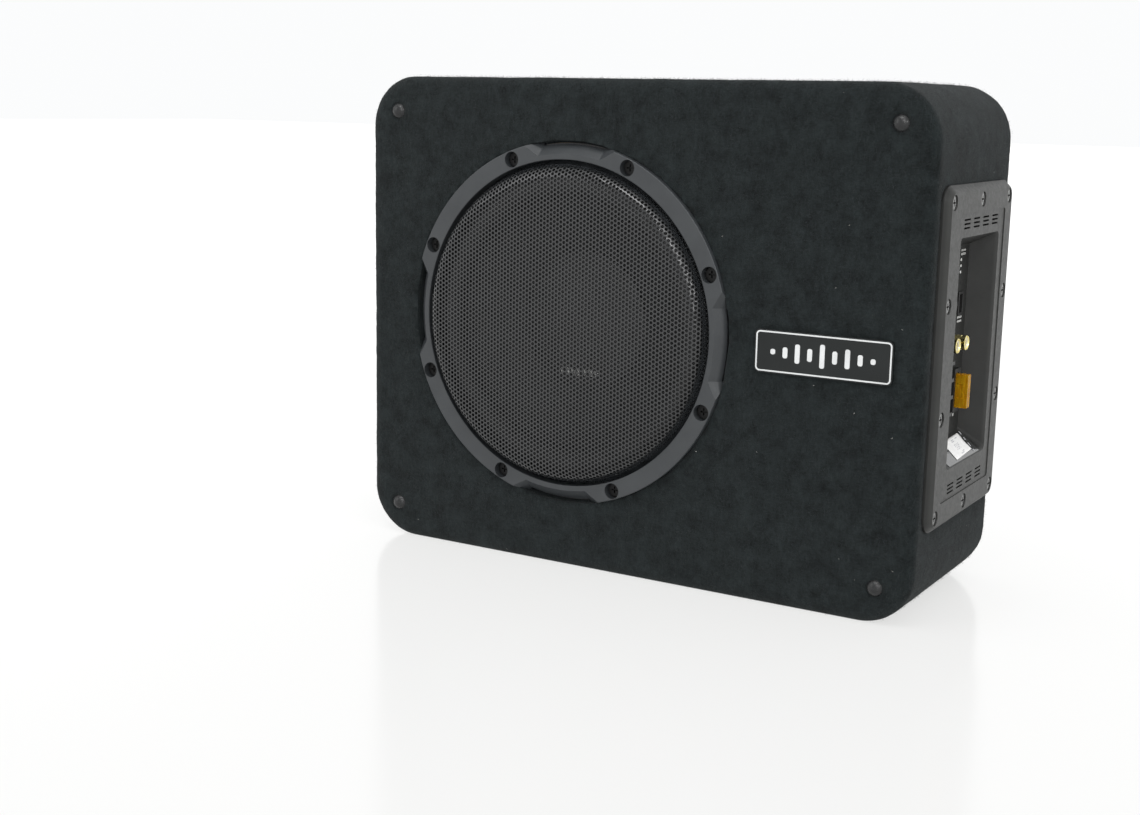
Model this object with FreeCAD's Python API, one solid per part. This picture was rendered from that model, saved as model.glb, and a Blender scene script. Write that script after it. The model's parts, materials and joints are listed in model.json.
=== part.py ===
import FreeCAD, Part
import math
import os
from FreeCAD import Vector

# Powered car subwoofer: a carpeted fibreboard box with a shallow 8-inch driver behind a
# dished grille, and an amplifier panel let into its right-hand side.
# Millimetres. +Z is up, the driver faces -Y, the amplifier side faces +X, and the origin
# is the centre of the box's bottom face.

# ---- cabinet -------------------------------------------------------------------------
WIDTH = 364.0
DEPTH = 130.0
HEIGHT = 290.0
CARPET = 3.0
BOARD = 15.0
OUTLINE_RADIUS = 31.0
EDGE_ROUND = 4.9
CARPET_LIP = 6.0
POST = 36.0
PLUG_INSET = 21.0
PLUG_BORE_RADIUS = 4.2
PLUG_BORE_DEPTH = 17.0
THROUGH_HOLE_RADIUS = 3.5
PLUG_DOME_RADIUS = 4.6
PLUG_DOME_HEIGHT = 2.7
PLUG_SHANK = 14.0

# ---- driver and grille, all about one axis along Y ------------------------------------
DRIVER_X = -38.8
DRIVER_Z = 147.2
DRIVER_SINK = 5.0
REBATE_RADIUS = 108.2
CUTOUT_RADIUS = 94.0
FLANGE_RADIUS = 106.0
CARPET_HOLE_RADIUS = 108.6
RING_OUTER = 107.3
RING_INNER = 96.4
RING_PROUD = 3.0
BOLT_CIRCLE = 102.0
BOLT_COUNT = 8
BOLT_START = 22.5
RING_TURN = -1.5
RING_POCKET_RADIUS = 4.7
RING_POCKET_DEPTH = 6.2
SCREW_CLEARANCE = 2.3
SCREW_RADIUS = 1.95
SCREW_PILOT = 2.0
VOICE_COIL_RADIUS = 25.5
BASKET_WINDOWS = 6
BASKET_WINDOW_ANGLE = 38.0

# ---- badge ---------------------------------------------------------------------------
BADGE_X = 125.1
BADGE_Z = 144.7
BADGE_LENGTH = 79.5
BADGE_HEIGHT = 24.0
BADGE_THICK = 1.8
BADGE_INLAY = 0.3
BADGE_BORDER_OUT = 0.8
BADGE_BORDER_IN = 1.6

# ---- amplifier panel -----------------------------------------------------------------
PANEL_Z = 144.7
PANEL_HALF_Y = 53.5
PANEL_HALF_Z = 89.5
PANEL_CHAMFER = 3.5
PANEL_PROUD = 5.0
PANEL_STRAIGHT = 1.5
PANEL_CORNER = 6.0
PANEL_SCREW_Y = 49.0
PANEL_SCREW_ROWS = (-84.3, -30.2, 30.2, 84.3)
PANEL_POCKET_RADIUS = 4.15
PANEL_POCKET_DEPTH = 2.2
STEP_HALF_Y = 42.0
STEP_HALF_Z = 77.8
STEP_DEPTH = 0.5
MOUTH_Z = 146.75
MOUTH_HALF_Y = 34.4
MOUTH_HALF_Z = 63.25
TRAY_DEPTH = 14.5
TRAY_INSET = 7.4
TRAY_INSET_LOW = 11.4
TRAY_FLOOR = 2.5
TRAY_WALL = 2.9
BOARD_CUT_HALF_Y = 42.0
BOARD_CUT_HALF_Z = 80.0
VENT_LENGTH = 10.5
VENT_WIDTH = 1.0
VENT_PITCH_Y = 16.5
VENT_PITCH_Z = 2.2
VENT_ROW_OFFSET = 72.2
BOSS_Y = 38.0
BOSS_Z = 72.5
BOSS_RADIUS = 3.0

# ---- what stands on the tray floor: centres as (y, z) ----------------------------------
RCA_PLACES = ((-10.0, 149.0), (5.0, 149.0))
RCA_RADIUS = 4.15
RCA_LENGTH = 9.0
FUSE_PLACE = (12.5, 120.4)
FUSE_WIDTH = 19.1
FUSE_THICK = 5.1
FUSE_PROUD = 9.5
TERMINAL_PLACE = (-13.0, 124.5)
TERMINAL_PITCH = 9.6
TERMINAL_COUNT = 3
SPEAKER_PLACE = (-12.0, 102.2)
REMOTE_PLACE = (15.9, 169.4)
KNOB_PLACES = {"gain_knob": (-14.0, 191.0), "crossover_knob": (-14.0, 171.0)}
KNOB_RADIUS = 5.5
KNOB_SHAFT = 3.0
SWITCH_PLACE = (1.0, 188.0)
SWITCH_TRAVEL = 2.0
LED_PLACE = (5.0, 200.0)
BOARD_BACK = 158.4
BOARD_THICK = 1.6

# ---- derived positions -----------------------------------------------------------------
FRONT = -DEPTH / 2
BACK = DEPTH / 2
CORE_FRONT = FRONT + CARPET
CORE_BACK = BACK - CARPET
SIDE = WIDTH / 2
CORE_SIDE = SIDE - CARPET
CORE_TOP = HEIGHT - CARPET
INNER_SIDE = CORE_SIDE - BOARD
POST_SIDE = CORE_SIDE - POST
POST_LOW = CARPET + POST
POST_HIGH = CORE_TOP - POST
BAFFLE_BACK = CORE_FRONT + BOARD
RING_FACE = FRONT - RING_PROUD
SEAT_Y = FRONT + DRIVER_SINK
REBATE_Y = CORE_FRONT + DRIVER_SINK
PANEL_FACE = SIDE + PANEL_PROUD
TRAY_FACE = PANEL_FACE - TRAY_DEPTH
TRAY_BACK = TRAY_FACE - TRAY_FLOOR
BOARD_FACE = BOARD_BACK + BOARD_THICK

PARTS = {}


def box(x0, x1, y0, y1, z0, z1):
    return Part.makeBox(x1 - x0, y1 - y0, z1 - z0, Vector(x0, y0, z0))


def rod_x(radius, x0, x1, y, z):
    return Part.makeCylinder(radius, x1 - x0, Vector(x0, y, z), Vector(1, 0, 0))


def rod_y(radius, y0, y1, x, z):
    return Part.makeCylinder(radius, y1 - y0, Vector(x, y0, z), Vector(0, 1, 0))


def rounded_wire(half_a, half_b, radius, place):
    """A rounded rectangle; place turns (a, b) into a point in space."""
    edges = []
    corners = ((1, 1), (-1, 1), (-1, -1), (1, -1))
    arc_points = []
    for index, (side_a, side_b) in enumerate(corners):
        centre_a = side_a * (half_a - radius)
        centre_b = side_b * (half_b - radius)
        start = math.radians(90 * index)
        points = []
        for step in (0, 45, 90):
            angle = start + math.radians(step)
            points.append(place(centre_a + radius * math.cos(angle),
                                centre_b + radius * math.sin(angle)))
        arc_points.append(points)
    for index, points in enumerate(arc_points):
        following = arc_points[(index + 1) % 4]
        edges.append(Part.Arc(*points).toShape())
        edges.append(Part.LineSegment(points[2], following[0]).toShape())
    return Part.Wire(edges)


def slab_y(half_x, half_z, radius, y0, y1, x=0.0, z=0.0):
    wire = rounded_wire(half_x, half_z, radius, lambda a, b: Vector(x + a, y0, z + b))
    return Part.Face(wire).extrude(Vector(0, y1 - y0, 0))


def slab_x(half_y, half_z, radius, x0, x1, y=0.0, z=0.0):
    wire = rounded_wire(half_y, half_z, radius, lambda a, b: Vector(x0, y + a, z + b))
    return Part.Face(wire).extrude(Vector(x1 - x0, 0, 0))


def taper_x(x0, half0, x1, half1, radius0, radius1, y, z0, z1):
    """A rounded rectangle at x0 lofted straight to another at x1."""
    first = rounded_wire(half0[0], half0[1], radius0, lambda a, b: Vector(x0, y + a, z0 + b))
    last = rounded_wire(half1[0], half1[1], radius1, lambda a, b: Vector(x1, y + a, z1 + b))
    return Part.makeLoft([first, last], True, True)


def turned(start, path, angle=360.0, first=0.0, x=DRIVER_X, z=DRIVER_Z):
    """A closed outline of (radius, y) points turned about an axis along Y.
    Each path step is a point, or a (middle, end) pair of points for an arc."""
    def point(spot):
        return Vector(x + spot[0], spot[1], z)
    edges = []
    here = start
    for step in list(path) + [start]:
        if isinstance(step[0], tuple):
            edges.append(Part.Arc(point(here), point(step[0]), point(step[1])).toShape())
            here = step[1]
        elif step != here:
            edges.append(Part.LineSegment(point(here), point(step)).toShape())
            here = step
    face = Part.Face(Part.Wire(edges))
    axis = Vector(0, 1, 0)
    if first:
        face.rotate(Vector(x, 0, z), axis, first)
    return face.revolve(Vector(x, 0, z), axis, angle)


def crown(top, radius, rim):
    """The middle point of an arc from (0, top) to (radius, rim), centred on the axis."""
    drop = rim - top
    ball = (radius ** 2 + drop ** 2) / (2 * drop)
    return radius / 2, top + ball - math.sqrt(ball ** 2 - radius ** 2 / 4)


def tube_y(inner, outer, y0, y1, x=DRIVER_X, z=DRIVER_Z):
    return rod_y(outer, y0, y1, x, z).cut(rod_y(inner, y0 - 1, y1 + 1, x, z))


def tube_x(inner, outer, x0, x1, y, z):
    return rod_x(outer, x0, x1, y, z).cut(rod_x(inner, x0 - 1, x1 + 1, y, z))


def wire_run(points, radius):
    """A round wire with ball joints where its straight runs meet."""
    places = [Vector(*spot) for spot in points]
    shape = None
    for one, two in zip(places, places[1:]):
        run = Part.makeCylinder(radius, (two - one).Length, one, two - one)
        shape = run if shape is None else shape.fuse(run)
    for joint in places[1:-1]:
        shape = shape.fuse(Part.makeSphere(radius, joint))
    return shape


def joined(shapes):
    whole = shapes[0]
    for shape in shapes[1:]:
        whole = whole.fuse(shape)
    return whole.removeSplitter()


def keep(name, shape):
    PARTS[name] = shape


def keep_group(name, solids):
    PARTS[name] = Part.makeCompound(solids)


def bolt_angles():
    return [BOLT_START + RING_TURN + 360.0 / BOLT_COUNT * step for step in range(BOLT_COUNT)]


def bolt_places():
    places = []
    for angle in bolt_angles():
        turn = math.radians(angle)
        places.append((DRIVER_X + BOLT_CIRCLE * math.cos(turn),
                       DRIVER_Z + BOLT_CIRCLE * math.sin(turn)))
    return places


def plug_places():
    return [(side_x * (SIDE - PLUG_INSET), HEIGHT / 2 + side_z * (HEIGHT / 2 - PLUG_INSET))
            for side_x in (-1, 1) for side_z in (-1, 1)]


def panel_screw_places():
    places = [(side * PANEL_SCREW_Y, PANEL_Z + row) for side in (-1, 1)
              for row in PANEL_SCREW_ROWS]
    places.append((0.0, PANEL_Z + PANEL_SCREW_ROWS[0]))
    places.append((0.0, PANEL_Z + PANEL_SCREW_ROWS[-1]))
    return places


def boss_places():
    return [(side_y * BOSS_Y, PANEL_Z + side_z * BOSS_Z)
            for side_y in (-1, 1) for side_z in (-1, 1)]


def badge_pin_places():
    return [(BADGE_X + side * (BADGE_LENGTH / 2 - 10), BADGE_Z) for side in (-1, 1)]


# ---- cabinet boards ----------------------------------------------------------------------
def make_boards():
    keep("top_board", box(-POST_SIDE, POST_SIDE, CORE_FRONT, CORE_BACK,
                          CORE_TOP - BOARD, CORE_TOP))
    keep("bottom_board", box(-POST_SIDE, POST_SIDE, CORE_FRONT, CORE_BACK,
                             CARPET, CARPET + BOARD))
    keep("left_board", box(-CORE_SIDE, -INNER_SIDE, CORE_FRONT, CORE_BACK,
                           POST_LOW, POST_HIGH))
    right = box(INNER_SIDE, CORE_SIDE, CORE_FRONT, CORE_BACK, POST_LOW, POST_HIGH)
    right = right.cut(box(INNER_SIDE - 1, CORE_SIDE + 1, -BOARD_CUT_HALF_Y, BOARD_CUT_HALF_Y,
                          PANEL_Z - BOARD_CUT_HALF_Z, PANEL_Z + BOARD_CUT_HALF_Z))
    for y, z in panel_screw_places():
        right = right.cut(rod_x(SCREW_PILOT, INNER_SIDE - 1, CORE_SIDE + 1, y, z))
    keep("right_board", right)


def make_posts():
    core = slab_y(CORE_SIDE, (CORE_TOP - CARPET) / 2, OUTLINE_RADIUS - CARPET,
                  CORE_FRONT, CORE_BACK, z=HEIGHT / 2)
    posts = []
    for x, z in plug_places():
        x0, x1 = (POST_SIDE, CORE_SIDE) if x > 0 else (-CORE_SIDE, -POST_SIDE)
        z0, z1 = (POST_HIGH, CORE_TOP) if z > HEIGHT / 2 else (CARPET, POST_LOW)
        post = core.common(box(x0, x1, CORE_FRONT, CORE_BACK, z0, z1))
        post = post.cut(rod_y(THROUGH_HOLE_RADIUS, CORE_FRONT - 1, CORE_BACK + 1, x, z))
        post = post.cut(rod_y(PLUG_BORE_RADIUS, CORE_FRONT - 1, CORE_FRONT + PLUG_BORE_DEPTH,
                              x, z))
        posts.append(post)
    keep_group("corner_posts", posts)


def inner_board(y0, y1):
    """A board that fills the frame's inside, notched round the four corner posts."""
    board = box(-INNER_SIDE, INNER_SIDE, y0, y1, CARPET + BOARD, CORE_TOP - BOARD)
    for side in (-1, 1):
        x0, x1 = sorted((side * POST_SIDE, side * SIDE))
        board = board.cut(box(x0, x1, y0 - 1, y1 + 1, 0, POST_LOW))
        board = board.cut(box(x0, x1, y0 - 1, y1 + 1, POST_HIGH, HEIGHT))
    return board


def make_baffle_and_back():
    baffle = inner_board(CORE_FRONT, BAFFLE_BACK)
    baffle = baffle.cut(rod_y(CUTOUT_RADIUS, CORE_FRONT - 1, BAFFLE_BACK + 1,
                              DRIVER_X, DRIVER_Z))
    baffle = baffle.cut(rod_y(REBATE_RADIUS, CORE_FRONT - 1, REBATE_Y,
                              DRIVER_X, DRIVER_Z))
    for x, z in bolt_places():
        baffle = baffle.cut(rod_y(SCREW_PILOT, CORE_FRONT - 1, BAFFLE_BACK + 1, x, z))
    for x, z in badge_pin_places():
        baffle = baffle.cut(rod_y(1.5, CORE_FRONT - 1, CORE_FRONT + 8, x, z))
    keep("front_baffle", baffle)
    keep("back_board", inner_board(CORE_BACK - BOARD, CORE_BACK))


# ---- carpet covering -----------------------------------------------------------------------
def carpet_dish(front):
    """The carpet on the front or back face, with its rounded edge and a lip over the side."""
    y0, y1 = (FRONT, FRONT + CARPET_LIP) if front else (BACK - CARPET_LIP, BACK)
    dish = slab_y(SIDE, HEIGHT / 2, OUTLINE_RADIUS, y0, y1, z=HEIGHT / 2)
    face_y = FRONT if front else BACK
    rim = [edge for edge in dish.Edges
           if all(abs(vertex.Y - face_y) < 0.01 for vertex in edge.Vertexes)]
    dish = dish.makeFillet(EDGE_ROUND, rim)
    core = slab_y(CORE_SIDE, (CORE_TOP - CARPET) / 2, OUTLINE_RADIUS - CARPET,
                  CORE_FRONT, CORE_BACK, z=HEIGHT / 2)
    return dish.cut(core)


def make_carpets():
    front = carpet_dish(True)
    front = front.cut(rod_y(CARPET_HOLE_RADIUS, FRONT - 1, CORE_FRONT + 1, DRIVER_X, DRIVER_Z))
    back = carpet_dish(False)
    for x, z in plug_places():
        front = front.cut(rod_y(PLUG_BORE_RADIUS, FRONT - 1, CORE_FRONT + 1, x, z))
        back = back.cut(rod_y(THROUGH_HOLE_RADIUS, CORE_BACK - 1, BACK + 1, x, z))
    for x, z in badge_pin_places():
        front = front.cut(rod_y(1.5, FRONT - 1, CORE_FRONT + 1, x, z))
    keep("carpet_front", front)
    keep("carpet_back", back)

    y0, y1 = FRONT + CARPET_LIP, BACK - CARPET_LIP
    wrap = slab_y(SIDE, HEIGHT / 2, OUTLINE_RADIUS, y0, y1, z=HEIGHT / 2)
    wrap = wrap.cut(slab_y(CORE_SIDE, (CORE_TOP - CARPET) / 2, OUTLINE_RADIUS - CARPET,
                           y0 - 1, y1 + 1, z=HEIGHT / 2))
    flat = SIDE - OUTLINE_RADIUS
    wrap = wrap.cut(box(-flat, flat, y0 - 1, y1 + 1, -1, CARPET))
    wrap = wrap.cut(box(CORE_SIDE - 1, SIDE + 1, -BOARD_CUT_HALF_Y, BOARD_CUT_HALF_Y,
                        PANEL_Z - BOARD_CUT_HALF_Z, PANEL_Z + BOARD_CUT_HALF_Z))
    for y, z in panel_screw_places():
        wrap = wrap.cut(rod_x(SCREW_CLEARANCE, CORE_SIDE - 1, SIDE + 1, y, z))
    keep("carpet_wrap", wrap)
    keep("carpet_underside", box(-flat, flat, y0, y1, 0, CARPET))


def make_plugs():
    ball = (PLUG_DOME_RADIUS ** 2 + PLUG_DOME_HEIGHT ** 2) / (2 * PLUG_DOME_HEIGHT)
    plugs = []
    for x, z in plug_places():
        dome = Part.makeSphere(ball, Vector(x, FRONT - PLUG_DOME_HEIGHT + ball, z))
        dome = dome.common(rod_y(PLUG_DOME_RADIUS + 1, FRONT - 5, FRONT, x, z))
        shank = rod_y(PLUG_BORE_RADIUS - 0.1, FRONT, FRONT + PLUG_SHANK, x, z)
        plugs.append(dome.fuse(shank))
    keep_group("corner_plugs", plugs)


def make_wadding():
    pad_low, pad_high = POST_LOW + 3, POST_HIGH - 3
    back_face = CORE_BACK - BOARD
    keep_group("damping_pads", [
        box(-INNER_SIDE, 104, back_face - 10, back_face, pad_low, pad_high),
        box(-INNER_SIDE, -INNER_SIDE + 12, BAFFLE_BACK, back_face - 10, pad_low, pad_high)])


# ---- driver --------------------------------------------------------------------------------
SURROUND_OUTER = 88.0
SURROUND_INNER = 74.0
ROLL_STEPS = 16
SHELF_Y = SEAT_Y + 2.0
CONE_NECK_Y = SEAT_Y + 29.0
SPIDER_SHELF_Y = SEAT_Y + 37.0
MOTOR_Y = SEAT_Y + 53.0
TOP_PLATE = 8.0
MAGNET_HEIGHT = 18.0
YOKE_PLATE = 8.0


def make_basket():
    strip_y = SPIDER_SHELF_Y + 1.6
    basket = turned((93.2, SEAT_Y), [
        (FLANGE_RADIUS, SEAT_Y), (FLANGE_RADIUS, SHELF_Y), (93.6, SHELF_Y),
        (93.6, SHELF_Y + 2.5), (68.0, SPIDER_SHELF_Y), (66.0, strip_y), (55.6, strip_y),
        (55.6, MOTOR_Y + 2),
        (34.0, MOTOR_Y + 2), (34.0, MOTOR_Y), (54.0, MOTOR_Y), (54.0, SPIDER_SHELF_Y),
        (66.0, SPIDER_SHELF_Y), (91.8, SHELF_Y + 1.6), (88.4, SHELF_Y + 1.6),
        (88.4, SHELF_Y),
        (93.2, SHELF_Y)])
    for index in range(BASKET_WINDOWS):
        first = 360.0 / BASKET_WINDOWS * index - BASKET_WINDOW_ANGLE / 2
        window = turned((60.0, SEAT_Y + 10), [(95.0, SEAT_Y + 10), (95.0, SEAT_Y + 32),
                                              (60.0, SEAT_Y + 32)],
                        BASKET_WINDOW_ANGLE, first + 360)
        basket = basket.cut(window)
    for x, z in bolt_places():
        basket = basket.cut(rod_y(SCREW_CLEARANCE, SEAT_Y - 1, SHELF_Y + 1, x, z))
    keep("driver_basket", basket)

    gasket = tube_y(95.0, FLANGE_RADIUS, SHELF_Y, REBATE_Y)
    for x, z in bolt_places():
        gasket = gasket.cut(rod_y(SCREW_CLEARANCE, SHELF_Y - 1, REBATE_Y + 1, x, z))
    keep("driver_gasket", gasket)


def make_moving_system():
    skin = 0.8
    roll = 6.6
    middle = (SURROUND_INNER + SURROUND_OUTER) / 2
    half = (SURROUND_OUTER - SURROUND_INNER) / 2
    over = []
    under = []
    for step in range(ROLL_STEPS + 1):
        turn = math.pi * (1 - step / ROLL_STEPS)
        over.append((middle + half * math.cos(turn), SHELF_Y - skin - roll * math.sin(turn)))
        under.append((middle + (half - 0.1) * math.cos(turn),
                      SHELF_Y - (roll - 0.1) * math.sin(turn)))
    keep("surround", turned((70.0, SHELF_Y - skin), over + [
        (92.8, SHELF_Y - skin), (92.8, SHELF_Y)] + under[::-1] + [(70.0, SHELF_Y)]))
    keep("cone", turned((SURROUND_INNER - 0.5, SHELF_Y), [
        (70.0, SHELF_Y), (VOICE_COIL_RADIUS, CONE_NECK_Y),
        (VOICE_COIL_RADIUS, CONE_NECK_Y + 1.4),
        (69.6, SHELF_Y + 1.1), (SURROUND_INNER - 0.5, SHELF_Y + 1.0)]))
    cap_top, cap_radius, cap_rim = SEAT_Y + 7.0, 42.0, SEAT_Y + 18.1
    keep("dust_cap", turned((0.0, cap_top), [
        (crown(cap_top, cap_radius, cap_rim), (cap_radius, cap_rim)),
        (cap_radius - 0.6, cap_rim + 0.6),
        (crown(cap_top + skin, cap_radius - 0.6, cap_rim + 0.6), (0.0, cap_top + skin))]))
    keep("voice_coil_former", tube_y(VOICE_COIL_RADIUS - 0.4, VOICE_COIL_RADIUS,
                                     CONE_NECK_Y - 2, MOTOR_Y + 16))
    keep("voice_coil", tube_y(VOICE_COIL_RADIUS, VOICE_COIL_RADIUS + 0.8,
                              MOTOR_Y - 2, MOTOR_Y + 14))

    waves = 5
    inner, outer = VOICE_COIL_RADIUS + 2.5, 55.0
    lap = 0.7
    crest = [(inner + (outer - inner) * step / (2 * waves),
              SPIDER_SHELF_Y - lap - (1.8 if step % 2 else -1.2)) for step in range(1, 2 * waves)]
    top = [(VOICE_COIL_RADIUS, SPIDER_SHELF_Y - lap), (inner, SPIDER_SHELF_Y - lap)]
    top += crest + [(56.0, SPIDER_SHELF_Y - lap), (62.0, SPIDER_SHELF_Y - lap)]
    under = [(radius, y + lap) for radius, y in reversed(top)]
    keep("spider", turned(top[0], top[1:] + under))


def make_motor():
    plate_back = MOTOR_Y + 2 + TOP_PLATE
    magnet_back = plate_back + MAGNET_HEIGHT
    yoke_back = magnet_back + YOKE_PLATE
    keep("top_plate", tube_y(VOICE_COIL_RADIUS + 1.3, 55.0, MOTOR_Y + 2, plate_back))
    keep("magnet", tube_y(32.0, 60.0, plate_back, magnet_back))
    pole = rod_y(VOICE_COIL_RADIUS - 0.7, MOTOR_Y + 2, magnet_back + 1, DRIVER_X, DRIVER_Z)
    yoke = pole.fuse(rod_y(56.0, magnet_back, yoke_back, DRIVER_X, DRIVER_Z))
    keep("yoke", yoke.cut(rod_y(8.0, MOTOR_Y, yoke_back + 1, DRIVER_X, DRIVER_Z)))

    strip_x = DRIVER_X + 57.0
    strip_y = SPIDER_SHELF_Y + 1.6
    strip = box(strip_x, strip_x + 18, strip_y, strip_y + 1.6, DRIVER_Z - 10, DRIVER_Z + 10)
    tabs = []
    leads = []
    harness = []
    for side in (-1, 1):
        z = DRIVER_Z + 6 * side
        tabs.append(box(strip_x + 10, strip_x + 22, strip_y + 1.6, strip_y + 2.4,
                        z - 2.4, z + 2.4))
        leads.append(wire_run([(DRIVER_X + 52, SEAT_Y + 18, z), (DRIVER_X + 84, SEAT_Y + 23, z),
                               (strip_x + 20.5, strip_y + 0.6, z)], 0.7))
        harness.append(wire_run([(strip_x + 20.5, strip_y + 3.5, z),
                                 (strip_x + 20.5, strip_y + 16.4, z),
                                 (90.0, 20.0, z - 8), (120.0, 36.0, z - 14),
                                 (BOARD_BACK, 36.0, z - 14)], 1.1))
    keep("terminal_strip", strip)
    keep_group("driver_tabs", tabs)
    keep_group("tinsel_leads", leads)
    keep_group("driver_leads", harness)


# ---- grille ----------------------------------------------------------------------------------
RECESS_INNER = 99.6
RECESS_OUTER = 105.2
RECESS_DEPTH = 6.0
RECESS_HALF = 20.7
RECESS_END = 30.7
RECESS_REACH = 125.0


def end_facet(side):
    """The corner cut away beyond one end of a recess: a slanted triangular facet."""
    def spot(along, across, y):
        return Vector(DRIVER_X + along, y, DRIVER_Z + side * across)
    start = math.sqrt(RECESS_INNER ** 2 - RECESS_HALF ** 2)
    foot = math.sqrt(RECESS_OUTER ** 2 - RECESS_HALF ** 2)
    edge = math.sqrt(RING_OUTER ** 2 - RECESS_END ** 2)
    corner = spot(start, RECESS_HALF, RING_FACE)
    stretch = 3.0
    deep = corner + (spot(foot, RECESS_HALF, RING_FACE + RECESS_DEPTH) - corner) * stretch
    far = corner + (spot(edge, RECESS_END, RING_FACE) - corner) * stretch
    outside = spot(RECESS_REACH + 30, RECESS_HALF, RING_FACE)
    points = [corner, deep, far, outside]
    rings = [(0, 1, 2), (0, 2, 3), (0, 3, 1), (1, 3, 2)]
    faces = [Part.Face(Part.makePolygon([points[i] for i in ring] + [points[ring[0]]]))
             for ring in rings]
    facet = Part.Solid(Part.Shell(faces))
    return facet if facet.Volume > 0 else facet.reversed()


def recess(middle_angle):
    """One thumb recess: a floor sloping down and out from the ring's face, with two facets."""
    groove = turned((RECESS_INNER, RING_FACE), [
        (RECESS_INNER, RING_FACE - 1), (RECESS_REACH, RING_FACE - 1), (RECESS_REACH, SEAT_Y + 1),
        (RECESS_OUTER, SEAT_Y + 1), (RECESS_OUTER, RING_FACE + RECESS_DEPTH)])
    gate = box(DRIVER_X + 80, DRIVER_X + RECESS_REACH, RING_FACE - 2, SEAT_Y + 2,
               DRIVER_Z - RECESS_HALF, DRIVER_Z + RECESS_HALF)
    tools = [groove.common(gate), end_facet(-1), end_facet(1)]
    for tool in tools:
        tool.rotate(Vector(DRIVER_X, 0, DRIVER_Z), Vector(0, 1, 0), -middle_angle)
    return tools


MESH_FLANGE_RADIUS = 98.4
MESH_SEAT_RADIUS = 98.6
MESH_THICK = 1.0
MESH_PROUD = 6.6
CROWN_RADIUS = 85.7
CROWN_DROP = 0.6
SHOULDER = 8.0


def quarter(centre, radius):
    """The middle of a quarter arc that bends from facing -Y to facing outwards."""
    reach = radius * math.sqrt(0.5)
    return centre[0] + reach, centre[1] - reach


def make_grille():
    mesh_seat = SEAT_Y - 1.2
    outer_round, inner_round = 0.8, 0.6
    bend = inner_round * math.sqrt(0.5)
    ring = turned((MESH_SEAT_RADIUS, SEAT_Y), [
        (RING_OUTER, SEAT_Y), (RING_OUTER, RING_FACE + outer_round),
        (quarter((RING_OUTER - outer_round, RING_FACE + outer_round), outer_round),
         (RING_OUTER - outer_round, RING_FACE)),
        (RING_INNER + inner_round, RING_FACE),
        ((RING_INNER + inner_round - bend, RING_FACE + inner_round - bend),
         (RING_INNER, RING_FACE + inner_round)),
        (RING_INNER, mesh_seat), (MESH_SEAT_RADIUS, mesh_seat)])
    for step in range(4):
        for tool in recess(90 * step + RING_TURN):
            ring = ring.cut(tool)
    for x, z in bolt_places():
        ring = ring.cut(rod_y(RING_POCKET_RADIUS, RING_FACE - 1, RING_FACE + RING_POCKET_DEPTH,
                              x, z))
        ring = ring.cut(rod_y(SCREW_CLEARANCE, RING_FACE, SEAT_Y + 1, x, z))
    keep("grille_ring", ring)

    top = RING_FACE - MESH_PROUD
    edge = top + CROWN_DROP
    centre = (CROWN_RADIUS, edge + SHOULDER)
    wall = CROWN_RADIUS + SHOULDER
    thick = MESH_THICK
    keep("grille_mesh", turned((0.0, top), [
        (crown(top, CROWN_RADIUS, edge), (CROWN_RADIUS, edge)),
        (quarter(centre, SHOULDER), (wall, centre[1])),
        (wall + 0.3, SEAT_Y - 1.1), (MESH_FLANGE_RADIUS, SEAT_Y - 1.1),
        (MESH_FLANGE_RADIUS, SEAT_Y - 0.1), (wall - 0.5, SEAT_Y - 0.1),
        (wall - thick, centre[1]),
        (quarter(centre, SHOULDER - thick), (CROWN_RADIUS, edge + thick)),
        (crown(top + thick, CROWN_RADIUS, edge + thick), (0.0, top + thick))]))

    head_front = RING_FACE + RING_POCKET_DEPTH - 2.4
    screws = []
    for x, z in bolt_places():
        head = rod_y(3.9, head_front, head_front + 2.4, x, z)
        head = head.cut(cross_socket_y(head_front, x, z))
        screws.append(head.fuse(rod_y(SCREW_RADIUS, head_front + 2.4, REBATE_Y + 8, x, z)))
    keep_group("grille_screws", screws)


def cross_socket_y(y, x, z):
    """The cross-shaped driving slot in a screw head that faces -Y."""
    depth, length, width = 1.3, 4.2, 1.0
    bar = box(x - length / 2, x + length / 2, y - 1, y + depth, z - width / 2, z + width / 2)
    return bar.fuse(box(x - width / 2, x + width / 2, y - 1, y + depth,
                        z - length / 2, z + length / 2))


def cross_socket_x(x, y, z):
    """The same slot in a screw head that faces +X."""
    depth, length, width = 1.2, 3.6, 0.9
    bar = box(x - depth, x + 1, y - length / 2, y + length / 2, z - width / 2, z + width / 2)
    return bar.fuse(box(x - depth, x + 1, y - width / 2, y + width / 2,
                        z - length / 2, z + length / 2))


# ---- badge -------------------------------------------------------------------------------------
BAR_HEIGHTS = (3.0, 6.0, 10.5, 7.0, 13.0, 7.0, 10.5, 6.0, 3.0)


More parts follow.
